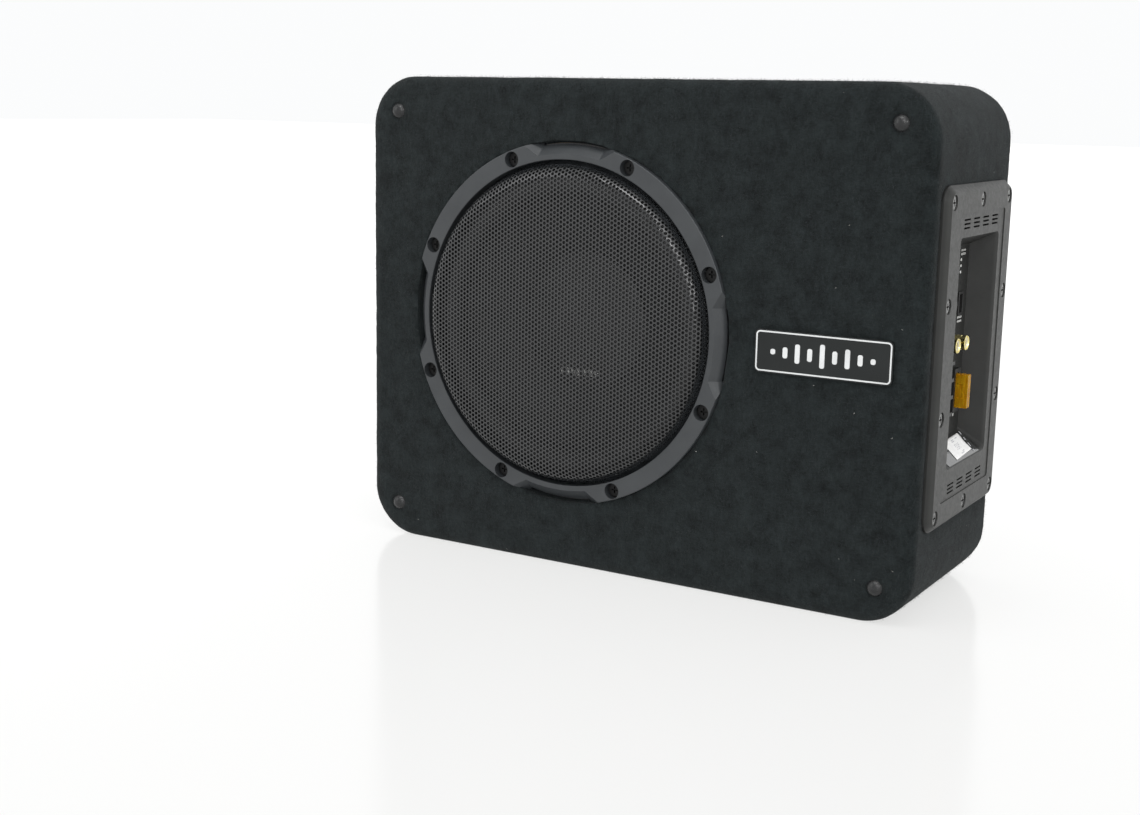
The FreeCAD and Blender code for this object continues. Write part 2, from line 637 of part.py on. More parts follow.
def make_badge():
    plate_front = FRONT - BADGE_THICK
    plate = slab_y(BADGE_LENGTH / 2, BADGE_HEIGHT / 2, 3.0, plate_front, FRONT,
                   BADGE_X, BADGE_Z)
    for x, z in badge_pin_places():
        plate = plate.fuse(rod_y(1.45, FRONT, CORE_FRONT + 7, x, z))
    keep("badge_plate", plate)

    inlay_front = plate_front - BADGE_INLAY
    outer = slab_y(BADGE_LENGTH / 2 - BADGE_BORDER_OUT, BADGE_HEIGHT / 2 - BADGE_BORDER_OUT,
                   2.4, inlay_front, plate_front, BADGE_X, BADGE_Z)
    inner = slab_y(BADGE_LENGTH / 2 - BADGE_BORDER_IN, BADGE_HEIGHT / 2 - BADGE_BORDER_IN,
                   1.6, inlay_front - 1, plate_front + 1, BADGE_X, BADGE_Z)
    solids = [outer.cut(inner)]
    pitch, width = 7.2, 2.8
    for index, height in enumerate(BAR_HEIGHTS):
        x = BADGE_X + pitch * (index - (len(BAR_HEIGHTS) - 1) / 2)
        solids.append(slab_y(width / 2, height / 2, 1.1, inlay_front, plate_front, x, BADGE_Z))
    keep_group("badge_inlay", solids)


# ---- amplifier panel --------------------------------------------------------------------------
def tray_half(x):
    """Half width and half height of the tray's slanted inside at x."""
    depth = 1 - (x - TRAY_FACE) / TRAY_DEPTH
    return (MOUTH_HALF_Y - depth * TRAY_INSET,
            MOUTH_HALF_Z - depth * (TRAY_INSET + TRAY_INSET_LOW) / 2)


def tray_centre(x):
    """The height of the tray's middle at x: its lower wall slants in more than the upper."""
    depth = 1 - (x - TRAY_FACE) / TRAY_DEPTH
    return MOUTH_Z + depth * (TRAY_INSET_LOW - TRAY_INSET) / 2


def wider(half, amount):
    return half[0] + amount, half[1] + amount


def floor_holes():
    holes = [rod_x(RCA_RADIUS, TRAY_BACK - 1, TRAY_FACE + 1, y, z) for y, z in RCA_PLACES]
    holes += [rod_x(KNOB_SHAFT + 0.6, TRAY_BACK - 1, TRAY_FACE + 1, y, z)
              for y, z in KNOB_PLACES.values()]
    y, z = FUSE_PLACE
    holes.append(box(TRAY_BACK - 1, TRAY_FACE + 1, y - 3.9, y + 3.9, z - 11, z + 11))
    y, z = SPEAKER_PLACE
    holes.append(box(TRAY_BACK - 1, TRAY_FACE + 1, y - 7.8, y + 7.8, z - 5.7, z + 5.7))
    y, z = REMOTE_PLACE
    holes.append(box(TRAY_BACK - 1, TRAY_FACE + 1, y - 3.4, y + 3.4, z - 5.8, z + 5.8))
    y, z = SWITCH_PLACE
    holes.append(box(TRAY_BACK - 1, TRAY_FACE + 1, y - 2.0, y + 2.0, z - 3.5, z + 3.5))
    y, z = LED_PLACE
    holes.append(rod_x(1.5, TRAY_BACK - 1, TRAY_FACE + 1, y, z))
    return holes


def vent_slots():
    slots = []
    for row_side in (-1, 1):
        for row in (-1, 0, 1):
            z = PANEL_Z + row_side * VENT_ROW_OFFSET + row * VENT_PITCH_Z
            for group in range(4):
                y = (group - 1.5) * VENT_PITCH_Y
                slots.append(box(SIDE - 1, PANEL_FACE + 1, y - VENT_LENGTH / 2,
                                 y + VENT_LENGTH / 2, z - VENT_WIDTH / 2, z + VENT_WIDTH / 2))
    return slots


def gasket_ring():
    ring = slab_x(PANEL_HALF_Y - 1, PANEL_HALF_Z - 1, 5.0, SIDE, SIDE + 1, 0, PANEL_Z)
    ring = ring.cut(slab_x(BOARD_CUT_HALF_Y + 1.5, BOARD_CUT_HALF_Z + 1.5, 3.0,
                           SIDE - 1, SIDE + 2, 0, PANEL_Z))
    for y, z in panel_screw_places():
        ring = ring.cut(rod_x(SCREW_CLEARANCE, SIDE - 1, SIDE + 2, y, z))
    return ring


def make_panel():
    half = (PANEL_HALF_Y, PANEL_HALF_Z)
    skirt = wider(half, PANEL_CHAMFER)
    foot = PANEL_CORNER + PANEL_CHAMFER
    panel = slab_x(skirt[0], skirt[1], foot, SIDE, SIDE + PANEL_STRAIGHT, 0, PANEL_Z)
    panel = panel.fuse(taper_x(SIDE + PANEL_STRAIGHT, skirt, PANEL_FACE, half, foot,
                               PANEL_CORNER, 0, PANEL_Z, PANEL_Z))
    panel = panel.fuse(taper_x(TRAY_BACK, wider(tray_half(TRAY_BACK), TRAY_WALL), SIDE + 1,
                               wider(tray_half(SIDE + 1), TRAY_WALL), 4.0, 5.0, 0,
                               tray_centre(TRAY_BACK), tray_centre(SIDE + 1)))
    for y, z in boss_places():
        panel = panel.fuse(rod_x(BOSS_RADIUS, BOARD_FACE, SIDE + 1, y, z))
    beyond = PANEL_FACE + 2
    panel = panel.cut(taper_x(TRAY_FACE, tray_half(TRAY_FACE), beyond, tray_half(beyond),
                              2.0, 3.0, 0, tray_centre(TRAY_FACE), tray_centre(beyond)))
    panel = panel.cut(slab_x(STEP_HALF_Y, STEP_HALF_Z, 1.5, PANEL_FACE - STEP_DEPTH,
                             PANEL_FACE + 1, 0, PANEL_Z))
    for y, z in panel_screw_places():
        panel = panel.cut(rod_x(PANEL_POCKET_RADIUS, PANEL_FACE - PANEL_POCKET_DEPTH,
                                PANEL_FACE + 1, y, z))
        panel = panel.cut(rod_x(SCREW_CLEARANCE, SIDE - 1, PANEL_FACE, y, z))
    panel = panel.cut(Part.makeCompound(vent_slots()))
    panel = panel.cut(Part.makeCompound(floor_holes()))
    gasket = gasket_ring()
    keep("amp_panel", panel.cut(gasket))
    keep("panel_gasket", gasket)

    head_back = PANEL_FACE - PANEL_POCKET_DEPTH
    screws = []
    for y, z in panel_screw_places():
        head = rod_x(3.5, head_back, head_back + 1.6, y, z)
        head = head.cut(cross_socket_x(head_back + 1.6, y, z))
        screws.append(head.fuse(rod_x(SCREW_RADIUS, INNER_SIDE + 2, head_back, y, z)))
    keep_group("panel_screws", screws)


# ---- amplifier inside ---------------------------------------------------------------------------
def make_board():
    board = box(BOARD_BACK, BOARD_FACE, -41, 41, PANEL_Z - 77, PANEL_Z + 77)
    screws = []
    for y, z in boss_places():
        board = board.cut(rod_x(1.3, BOARD_BACK - 1, BOARD_FACE + 1, y, z))
        head = rod_x(2.6, BOARD_BACK - 1.8, BOARD_BACK, y, z)
        screws.append(head.fuse(rod_x(1.25, BOARD_BACK - 1, BOARD_FACE, y, z)))
    keep("circuit_board", board)
    keep_group("board_screws", screws)


def make_heatsink():
    low, high = PANEL_Z - 70, PANEL_Z - 26
    shapes = [box(122, 126, -37, 37, low, high)]
    for step in range(9):
        y = -36 + 8.8 * step
        shapes.append(box(110, 122.5, y, y + 1.6, low, high))
    shapes.append(box(125, BOARD_BACK, -37, 37, high - 3, high))
    for side in (-1, 1):
        shapes.append(box(125, BOARD_BACK, side * 34 - 2, side * 34 + 2, low, low + 4))
    keep("heatsink", joined(shapes))
    transistors = []
    for y in (-27, -9, 9, 27):
        body = box(138, 153, y - 5, y + 5, high, high + 4.5)
        for lead in (-1, 0, 1):
            body = body.fuse(box(153, BOARD_BACK, y + 2.5 * lead - 0.4, y + 2.5 * lead + 0.4,
                                 high + 1.8, high + 2.6))
        transistors.append(body)
    keep_group("power_transistors", transistors)


def make_power_parts():
    capacitors = []
    for y in (-26, 0, 26):
        can = rod_x(9.0, BOARD_BACK - 32, BOARD_BACK, y, PANEL_Z + 58)
        capacitors.append(can.makeFillet(1.0, [edge for edge in can.Edges
                                               if abs(edge.CenterOfMass.x - BOARD_BACK) > 31]))
    keep_group("filter_capacitors", capacitors)
    keep("power_toroid", Part.makeTorus(17.0, 8.0, Vector(BOARD_BACK - 8, 0, PANEL_Z + 18),
                                        Vector(1, 0, 0)))


def make_rca():
    shells = []
    insulators = []
    contacts = []
    tip = TRAY_FACE + RCA_LENGTH
    for y, z in RCA_PLACES:
        shell = tube_x(3.45, RCA_RADIUS, TRAY_BACK - 1, tip, y, z)
        nut = tube_x(RCA_RADIUS - 0.2, 5.6, TRAY_FACE, TRAY_FACE + 1, y, z)
        shells.append(shell.fuse(nut))
        insulators.append(tube_x(1.7, 3.45, BOARD_FACE, tip - 0.8, y, z))
        contacts.append(tube_x(1.1, 1.7, BOARD_FACE, tip - 1.4, y, z))
    keep_group("rca_shells", shells)
    keep_group("rca_insulators", insulators)
    return contacts


def make_fuse():
    y, z = FUSE_PLACE
    pocket_floor = TRAY_FACE - 2.5
    holder = box(TRAY_FACE, TRAY_FACE + 2.6, y - 5.0, y + 5.0, z - 12.5, z + 12.5)
    holder = holder.fuse(box(BOARD_FACE, TRAY_FACE, y - 3.9, y + 3.9, z - 11, z + 11))
    holder = holder.cut(box(pocket_floor, TRAY_FACE + 4, y - FUSE_THICK / 2 - 0.3,
                            y + FUSE_THICK / 2 + 0.3, z - FUSE_WIDTH / 2 - 0.3,
                            z + FUSE_WIDTH / 2 + 0.3))
    blades = []
    for side in (-1, 1):
        blade_z = z + side * 6.0
        holder = holder.cut(box(BOARD_FACE + 2, pocket_floor + 1, y - 0.6, y + 0.6,
                                blade_z - 2.8, blade_z + 2.8))
        blades.append(box(BOARD_FACE + 3, pocket_floor + 0.2, y - 0.35, y + 0.35,
                          blade_z - 2.55, blade_z + 2.55))
    keep("fuse_holder", holder)
    keep_group("fuse_blades", blades)
    top = TRAY_FACE + FUSE_PROUD
    low = pocket_floor + 0.2
    body = box(low, top, y - FUSE_THICK / 2 + 0.5, y + FUSE_THICK / 2 - 0.5,
               z - FUSE_WIDTH / 2 + 1.2, z + FUSE_WIDTH / 2 - 1.2)
    body = body.fuse(box(top - 3.2, top, y - FUSE_THICK / 2, y + FUSE_THICK / 2,
                         z - FUSE_WIDTH / 2, z + FUSE_WIDTH / 2))
    for side in (-1, 1):
        z0, z1 = sorted((z + side * FUSE_WIDTH / 2, z + side * (FUSE_WIDTH / 2 - 5.4)))
        body = body.fuse(box(low, top, y - FUSE_THICK / 2, y + FUSE_THICK / 2, z0, z1))
    keep("fuse_body", body.removeSplitter())


def make_terminals():
    y, z = TERMINAL_PLACE
    half = TERMINAL_PITCH * TERMINAL_COUNT / 2 + 1
    base_top = TRAY_FACE + 2.6
    block = box(TRAY_FACE, base_top, y - 7, y + 7, z - half, z + half)
    for step in range(TERMINAL_COUNT + 1):
        rib = z + (step - TERMINAL_COUNT / 2) * TERMINAL_PITCH
        block = block.fuse(box(TRAY_FACE, TRAY_FACE + 6.5, y - 7, y + 7, rib - 1, rib + 1))
    screws = []
    for step in range(TERMINAL_COUNT):
        screw_z = z + (step - (TERMINAL_COUNT - 1) / 2) * TERMINAL_PITCH
        plate = box(base_top, base_top + 0.8, y - 4, y + 4, screw_z - 3.4, screw_z + 3.4)
        head = rod_x(2.9, base_top + 0.8, base_top + 2.8, y, screw_z)
        head = head.cut(cross_socket_x(base_top + 2.8, y, screw_z))
        screws.append(plate.fuse(head))
    keep("power_terminal_block", block.removeSplitter())
    keep_group("terminal_screws", screws)


def make_sockets():
    y, z = SPEAKER_PLACE
    wall_y, wall_z = 7.0, 4.9
    socket = box(TRAY_FACE, TRAY_FACE + 3.5, y - 8.6, y + 8.6, z - 6.5, z + 6.5)
    socket = socket.fuse(box(BOARD_FACE, TRAY_FACE, y - 7.8, y + 7.8, z - 5.7, z + 5.7))
    pocket_floor = TRAY_FACE - 5.0
    socket = socket.cut(box(pocket_floor, TRAY_FACE + 5, y - wall_y, y + wall_y,
                            z - wall_z, z + wall_z))
    pins = []
    for step in range(4):
        pin_y = y + (step - 1.5) * 3.3
        pins.append(box(pocket_floor, TRAY_FACE + 1, pin_y - 0.35, pin_y + 0.35,
                        z - 0.35, z + 0.35))
    keep("speaker_input_socket", socket)

    y, z = REMOTE_PLACE
    remote = box(TRAY_FACE, TRAY_FACE + 0.8, y - 4.2, y + 4.2, z - 6.8, z + 6.8)
    remote = remote.fuse(box(BOARD_FACE, TRAY_FACE, y - 3.4, y + 3.4, z - 5.8, z + 5.8))
    keep("remote_level_socket", remote.cut(box(TRAY_FACE - 8, TRAY_FACE + 2, y - 2.7, y + 2.7,
                                               z - 5.1, z + 5.1)))
    return pins


def make_controls():
    pots = []
    for name, (y, z) in KNOB_PLACES.items():
        pot = box(BOARD_FACE, TRAY_BACK - 3, y - 5.5, y + 5.5, z - 5.5, z + 5.5)
        pot = pot.fuse(rod_x(KNOB_SHAFT + 0.55, TRAY_BACK - 4, TRAY_FACE, y, z))
        pots.append(pot.cut(rod_x(KNOB_SHAFT + 0.05, BOARD_FACE + 2, TRAY_FACE + 1, y, z)))
        knob = rod_x(KNOB_RADIUS, TRAY_FACE + 0.4, TRAY_FACE + 6.4, y, z)
        knob = knob.makeFillet(0.6, [edge for edge in knob.Edges
                                     if abs(edge.CenterOfMass.x - TRAY_FACE - 6.4) < 0.01])
        for step in range(16):
            turn = math.radians(22.5 * step)
            knob = knob.cut(rod_x(0.45, TRAY_FACE, TRAY_FACE + 5.4,
                                  y + (KNOB_RADIUS + 0.15) * math.cos(turn),
                                  z + (KNOB_RADIUS + 0.15) * math.sin(turn)))
        knob = knob.cut(box(TRAY_FACE + 5.8, TRAY_FACE + 7, y - 0.5, y + 0.5,
                            z + 0.8, z + KNOB_RADIUS - 0.8))
        keep(name, knob.fuse(rod_x(KNOB_SHAFT, BOARD_FACE + 2.5, TRAY_FACE + 1, y, z)))
    keep_group("potentiometers", pots)

    y, z = SWITCH_PLACE
    housing = box(BOARD_FACE, TRAY_BACK, y - 4, y + 4, z - 6.5, z + 6.5)
    keep("switch_housing", housing.cut(box(TRAY_BACK - 4.0, TRAY_BACK + 1, y - 2.0, y + 2.0,
                                           z - 3.5, z + 3.5)))
    rest_z = z - SWITCH_TRAVEL / 2
    keep("phase_switch", box(TRAY_BACK - 3.6, TRAY_FACE + 2.5, y - 1.6, y + 1.6,
                             rest_z - 1.8, rest_z + 1.8))
    y, z = LED_PLACE
    keep("power_led", rod_x(1.45, BOARD_FACE, TRAY_FACE, y, z).fuse(
        Part.makeSphere(1.45, Vector(TRAY_FACE, y, z))))


def on_lower_wall(length, width, radius, lift, thick, along=0.0, across=0.0, turn=0.0):
    """A thin plate lying on the tray's slanted lower wall."""
    slant = math.degrees(math.atan2(TRAY_INSET_LOW, TRAY_DEPTH))
    wire = rounded_wire(length / 2, width / 2, radius, lambda a, b: Vector(a, b, 0))
    plate = Part.Face(wire).extrude(Vector(0, 0, thick))
    plate.rotate(Vector(0, 0, 0), Vector(0, 0, 1), turn)
    plate.translate(Vector(along, across, lift))
    plate.rotate(Vector(0, 0, 0), Vector(0, 1, 0), slant)
    wall_z = MOUTH_Z - MOUTH_HALF_Z + TRAY_INSET_LOW / 2
    plate.translate(Vector(PANEL_FACE - TRAY_DEPTH / 2, 0, wall_z))
    return plate


def make_labels():
    keep("rating_label", on_lower_wall(14.0, 53.0, 0.8, 0.05, 0.25, along=0.8))
    keep("white_sticker", on_lower_wall(13.2, 28.6, 0.8, 0.35, 0.15, 0.0, 7.6, -2.0))


make_boards()
make_posts()
make_baffle_and_back()
make_carpets()
make_plugs()
make_wadding()
make_basket()
make_moving_system()
make_motor()
make_grille()
make_badge()
make_panel()
make_board()
make_heatsink()
make_power_parts()
keep_group("connector_contacts", make_rca() + make_sockets())
make_fuse()
make_terminals()
make_controls()
make_labels()

os.makedirs("parts", exist_ok=True)
for part_name, part_shape in PARTS.items():
    if not part_shape.isValid():
        raise ValueError(part_name + " is not a valid shape")
    part_shape.exportStep("parts/" + part_name + ".step")
print(len(PARTS), "parts written")
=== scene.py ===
import json
import math
import random

import bpy
import numpy as np
from mathutils import Matrix, Vector, noise
from mathutils.geometry import delaunay_2d_cdt


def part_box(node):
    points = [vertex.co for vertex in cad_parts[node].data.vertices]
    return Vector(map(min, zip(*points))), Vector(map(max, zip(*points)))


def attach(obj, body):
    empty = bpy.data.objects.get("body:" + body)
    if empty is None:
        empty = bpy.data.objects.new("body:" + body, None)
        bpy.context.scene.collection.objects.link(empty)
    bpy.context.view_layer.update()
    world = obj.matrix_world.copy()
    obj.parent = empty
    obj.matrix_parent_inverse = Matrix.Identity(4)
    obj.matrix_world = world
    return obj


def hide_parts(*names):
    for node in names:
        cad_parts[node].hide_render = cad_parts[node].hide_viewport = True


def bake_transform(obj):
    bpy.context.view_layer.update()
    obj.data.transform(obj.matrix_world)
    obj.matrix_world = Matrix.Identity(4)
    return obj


# Powered car subwoofer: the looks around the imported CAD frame. Metres, +Z up, the driver
# faces -Y and the amplifier panel faces +X.

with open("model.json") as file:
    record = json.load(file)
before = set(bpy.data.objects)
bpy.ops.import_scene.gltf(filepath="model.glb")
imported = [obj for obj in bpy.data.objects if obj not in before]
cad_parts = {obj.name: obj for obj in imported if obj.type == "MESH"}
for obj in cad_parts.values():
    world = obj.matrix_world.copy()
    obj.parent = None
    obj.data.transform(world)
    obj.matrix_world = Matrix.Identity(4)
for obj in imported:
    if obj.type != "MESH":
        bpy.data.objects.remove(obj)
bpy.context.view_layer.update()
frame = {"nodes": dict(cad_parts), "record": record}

MM = 0.001
CABINET = "cabinet"
CONE = "cone_assembly"
SEED = 11
WELD_REACH = 0.01 * MM
# the corners of a square about its middle, going round
SQUARE = ((-1, -1), (1, -1), (1, 1), (-1, 1))

# ---- places and sizes read from the frame ------------------------------------------------
FACE_LOW, FACE_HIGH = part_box("carpet_front")
LEFT, RIGHT = FACE_LOW.x, FACE_HIGH.x
BOTTOM, TOP = FACE_LOW.z, FACE_HIGH.z
FRONT, BACK = FACE_LOW.y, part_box("carpet_back")[1].y
MIDDLE_Z = (BOTTOM + TOP) / 2
PANEL_LOW, PANEL_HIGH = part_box("amp_panel")
PANEL_Z = (PANEL_LOW.z + PANEL_HIGH.z) / 2
TRAY_DEPTH = 14.5 * MM
TRAY_FACE = PANEL_HIGH.x - TRAY_DEPTH


def middle(node):
    """The centre of a CAD node's box."""
    low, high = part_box(node)
    return (low + high) / 2


AXIS = middle("magnet")
DRIVER_FOOT = Vector((AXIS.x, 0, AXIS.z))
RING_RADIUS = 107.3 * MM
MESH_LOW, MESH_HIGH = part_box("grille_mesh")

# ---- the carpet's shape ------------------------------------------------------------------
OUTLINE_RADIUS = 31 * MM
EDGE_ROUND = 5 * MM
EDGE_SWEEP = 8 * MM
CARPET_STEP = 2.6 * MM
LIP_DEPTH = 2.6 * MM
DRIVER_HOLE = 107.7 * MM
PLUG_INSET = 21 * MM
FRONT_PLUG_HOLE = 4.2 * MM
REAR_HOLE = 3.5 * MM
PANEL_CUT_Y = 42 * MM
PANEL_CUT_Z = 80 * MM
FIBRES = 62000
LINT_SPECKS = 60


# ---- small mesh helpers ------------------------------------------------------------------
def piece(name, points, faces, material, body=CABINET, smooth=True):
    """A mesh object with the finish it is given, which rides on a body where one is given."""
    mesh = bpy.data.meshes.new(name)
    mesh.from_pydata([tuple(point) for point in points], [], faces)
    mesh.validate()
    mesh.polygons.foreach_set("use_smooth", [smooth] * len(mesh.polygons))
    mesh.materials.append(material)
    made = bpy.data.objects.new(name, mesh)
    bpy.context.scene.collection.objects.link(made)
    if body:
        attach(made, body)
    return made


def lathe(profile, centre, axis, steps):
    """Turns a closed outline of (radius, along) points about an axis through centre."""
    along = Vector(axis).normalized()
    side = along.orthogonal().normalized()
    up = along.cross(side)
    points = []
    for radius, distance in profile:
        for step in range(steps):
            turn = 2 * math.pi * step / steps
            points.append(centre + along * distance
                          + (side * math.cos(turn) + up * math.sin(turn)) * radius)
    faces = []
    rows = len(profile)
    for row in range(rows):
        following = (row + 1) % rows
        for step in range(steps):
            after = (step + 1) % steps
            faces.append((row * steps + step, row * steps + after,
                          following * steps + after, following * steps + step))
    return points, faces


def round_driver(profile, steps):
    """Turns a closed outline of (radius, y) points about the driver's axis."""
    return lathe(profile, DRIVER_FOOT, (0, 1, 0), steps)


def join(points, faces, made):
    """Adds the points and faces of another shape to these."""
    more_points, more_faces = made
    faces += [tuple(len(points) + index for index in face) for face in more_faces]
    points += more_points


def tube(path, radius):
    """A round tube with closed ends along a list of points."""
    steps = 8
    points = []
    faces = []
    for index, here in enumerate(path):
        before = path[max(index - 1, 0)]
        after = path[min(index + 1, len(path) - 1)]
        along = (after - before).normalized()
        side = along.orthogonal().normalized()
        up = along.cross(side)
        for step in range(steps):
            turn = 2 * math.pi * step / steps
            points.append(here + (side * math.cos(turn) + up * math.sin(turn)) * radius)
    for index in range(len(path) - 1):
        for step in range(steps):
            after = (step + 1) % steps
            low = index * steps
            faces.append((low + step, low + after, low + steps + after, low + steps + step))
    faces.append(tuple(reversed(range(steps))))
    faces.append(tuple(range(len(points) - steps, len(points))))
    return points, faces


def rounded_box(name, low, high, radius, material):
    """A box with rounded edges, built as a bevelled mesh."""
    points = [(x, y, z) for x in (low[0], high[0]) for y in (low[1], high[1])
              for z in (low[2], high[2])]
    faces = [(0, 1, 3, 2), (4, 6, 7, 5), (0, 4, 5, 1), (2, 3, 7, 6), (0, 2, 6, 4), (1, 5, 7, 3)]
    soften(piece(name, points, faces, material), radius, 3, 35)


def add_weld(made):
    """Joins the corners that neighbouring faces share."""
    weld = made.modifiers.new("weld", "WELD")
    weld.merge_threshold = WELD_REACH


def soften(made, width, segments, angle):
    """Rounds a piece's sharp edges without touching its mesh."""
    add_weld(made)
    bevel = made.modifiers.new("bevel", "BEVEL")
    bevel.width = width
    bevel.segments = segments
    bevel.limit_method = "ANGLE"
    bevel.angle_limit = math.radians(angle)
    bevel.harden_normals = True


# ---- materials ---------------------------------------------------------------------------
def new_material(name):
    """A new material with its nodes, its links and its shader."""
    material = bpy.data.materials.new(name)
    material.use_nodes = True
    nodes = material.node_tree.nodes
    return material, nodes, material.node_tree.links, nodes["Principled BSDF"]


def noise_field(nodes, links, scale, detail=4.0, rough=0.55, stretch=(1, 1, 1)):
    """Noise over the object's own metres, at a scale in waves per metre."""
    place = nodes.new("ShaderNodeTexCoord")
    mapping = nodes.new("ShaderNodeMapping")
    mapping.inputs["Scale"].default_value = stretch
    field = nodes.new("ShaderNodeTexNoise")
    field.inputs["Scale"].default_value = scale
    field.inputs["Detail"].default_value = detail
    field.inputs["Roughness"].default_value = rough
    links.new(place.outputs["Object"], mapping.inputs["Vector"])
    links.new(mapping.outputs["Vector"], field.inputs["Vector"])
    return field.outputs["Fac"]


def ramp(nodes, links, value, stops):
    """A colour ramp with (position, colour) stops."""
    made = nodes.new("ShaderNodeValToRGB")
    elements = made.color_ramp.elements
    while len(elements) < len(stops):
        elements.new(0.5)
    for element, (position, colour) in zip(elements, stops):
        element.position = position
        element.color = (*colour, 1)
    links.new(value, made.inputs["Fac"])
    return made.outputs["Color"]


def spread(nodes, links, value, low, high):
    """Maps noise, which stays near the middle, to the range from low to high."""
    made = nodes.new("ShaderNodeMapRange")
    made.inputs["From Min"].default_value = 0.3
    made.inputs["From Max"].default_value = 0.7
    made.inputs["To Min"].default_value = low
    made.inputs["To Max"].default_value = high
    links.new(value, made.inputs["Value"])
    return made.outputs["Result"]


def relief(nodes, links, height, strength, depth, under=None):
    """A bump from a height value, laid over another bump where one is given."""
    made = nodes.new("ShaderNodeBump")
    made.inputs["Strength"].default_value = strength
    made.inputs["Distance"].default_value = depth
    links.new(height, made.inputs["Height"])
    if under is not None:
        links.new(under, made.inputs["Normal"])
    return made.outputs["Normal"]


def arithmetic(nodes, links, operation, *values):
    """A math node whose inputs are other nodes' outputs or plain numbers."""
    made = nodes.new("ShaderNodeMath")
    made.operation = operation
    for socket, value in zip(made.inputs, values):
        if isinstance(value, float):
            socket.default_value = value
        else:
            links.new(value, socket)
    return made.outputs["Value"]


def fade_along(nodes, links, colour, axis, start, end, gains):
    """Scales a colour by gains[0] before start and gains[1] past end, along one axis."""
    place = nodes.new("ShaderNodeTexCoord")
    parts = nodes.new("ShaderNodeSeparateXYZ")
    gain = nodes.new("ShaderNodeMapRange")
    gain.inputs["From Min"].default_value = start
    gain.inputs["From Max"].default_value = end
    gain.inputs["To Min"].default_value = gains[0]
    gain.inputs["To Max"].default_value = gains[1]
    scaled = nodes.new("ShaderNodeVectorMath")
    scaled.operation = "SCALE"
    links.new(place.outputs["Object"], parts.inputs["Vector"])
    links.new(parts.outputs[axis], gain.inputs["Value"])
    links.new(colour, scaled.inputs[0])
    links.new(gain.outputs["Result"], scaled.inputs["Scale"])
    return scaled.outputs["Vector"]


def plain_finish(name, dark, light, rough=0.5, swing=0.08, patch=70.0, grain=2500.0, bump=0.15,
                 depth=0.00006, metal=0.0, coat=0.0, sheen=0.0, clear=0.0, specular=0.5,
                 ior=None, stretch=(1, 1, 1), fade=None):
    """A finish with slow colour changes, fine grain in its roughness, and a small relief."""
    material, nodes, links, shader = new_material(name)
    patches = noise_field(nodes, links, patch, 5.0, 0.6, stretch)
    fine = noise_field(nodes, links, grain, 3.0, 0.6, stretch)
    colour = ramp(nodes, links, patches, [(0.3, dark), (0.7, light)])
    if fade:
        colour = fade_along(nodes, links, colour, *fade)
    links.new(colour, shader.inputs["Base Color"])
    links.new(spread(nodes, links, fine, rough - swing, rough + swing),
              shader.inputs["Roughness"])
    links.new(relief(nodes, links, fine, bump, depth), shader.inputs["Normal"])
    shader.inputs["Metallic"].default_value = metal
    shader.inputs["Coat Weight"].default_value = coat
    shader.inputs["Sheen Weight"].default_value = sheen
    shader.inputs["Transmission Weight"].default_value = clear
    shader.inputs["Specular IOR Level"].default_value = specular
    if ior:
        shader.inputs["IOR"].default_value = ior
    return material


def felt_finish(name, dark, light):
    """Needle-punched felt: matted fibres in several directions, with fuzz that catches light."""
    material, nodes, links, shader = new_material(name)
    clumps = noise_field(nodes, links, 90.0, 6.0, 0.7)
    mats = noise_field(nodes, links, 700.0, 5.0, 0.75, (1.0, 1.0, 0.45))
    strands = noise_field(nodes, links, 1500.0, 4.0, 0.8, (0.3, 1.0, 1.0))
    matted = arithmetic(nodes, links, "ADD", mats, strands)
    matted = arithmetic(nodes, links, "MULTIPLY", matted, 0.5)
    broad = arithmetic(nodes, links, "MULTIPLY", clumps, 0.4)
    shade = arithmetic(nodes, links, "MULTIPLY_ADD", matted, 0.6, broad)
    links.new(ramp(nodes, links, shade, [(0.38, dark), (0.62, light)]),
              shader.inputs["Base Color"])
    coarse = relief(nodes, links, clumps, 0.25, 0.0012)
    medium = relief(nodes, links, mats, 0.8, 0.0008, coarse)
    links.new(relief(nodes, links, strands, 0.8, 0.0005, medium), shader.inputs["Normal"])
    shader.inputs["Roughness"].default_value = 0.95
    shader.inputs["Specular IOR Level"].default_value = 0.12
    shader.inputs["Sheen Weight"].default_value = 0.05
    shader.inputs["Sheen Roughness"].default_value = 0.6
    return material


def moulded_finish(name, dark, light, rough, specular=0.45, fade=None):
    """Moulded plastic with an etched grain, slightly dusty."""
    material, nodes, links, shader = new_material(name)
    patches = noise_field(nodes, links, 45.0, 6.0, 0.65)
    scuffs = noise_field(nodes, links, 420.0, 5.0, 0.7)
    etched = noise_field(nodes, links, 3200.0, 2.0, 0.5)
    colour = ramp(nodes, links, patches, [(0.3, dark), (0.7, light)])
    if fade:
        colour = fade_along(nodes, links, colour, *fade)
    links.new(colour, shader.inputs["Base Color"])
    links.new(spread(nodes, links, scuffs, rough - 0.07, rough + 0.09),
              shader.inputs["Roughness"])
    grain = relief(nodes, links, etched, 0.35, 0.00008)
    links.new(relief(nodes, links, scuffs, 0.05, 0.0001, grain), shader.inputs["Normal"])
    shader.inputs["Specular IOR Level"].default_value = specular
    return material


# painted light: the grille's side wall is lightened deeper in, standing in for light the ring's
# inner wall keeps from it; painted shade: the tray is darker than the panel's face
WALL_PAINTED_LIGHT = ("Y", MESH_LOW.y + 4 * MM, MESH_LOW.y + 9 * MM, (1.0, 4.0))
TRAY_PAINTED_SHADE = ("X", PANEL_HIGH.x - 2.6 * MM, PANEL_HIGH.x - 1.2 * MM, (0.62, 1.0))

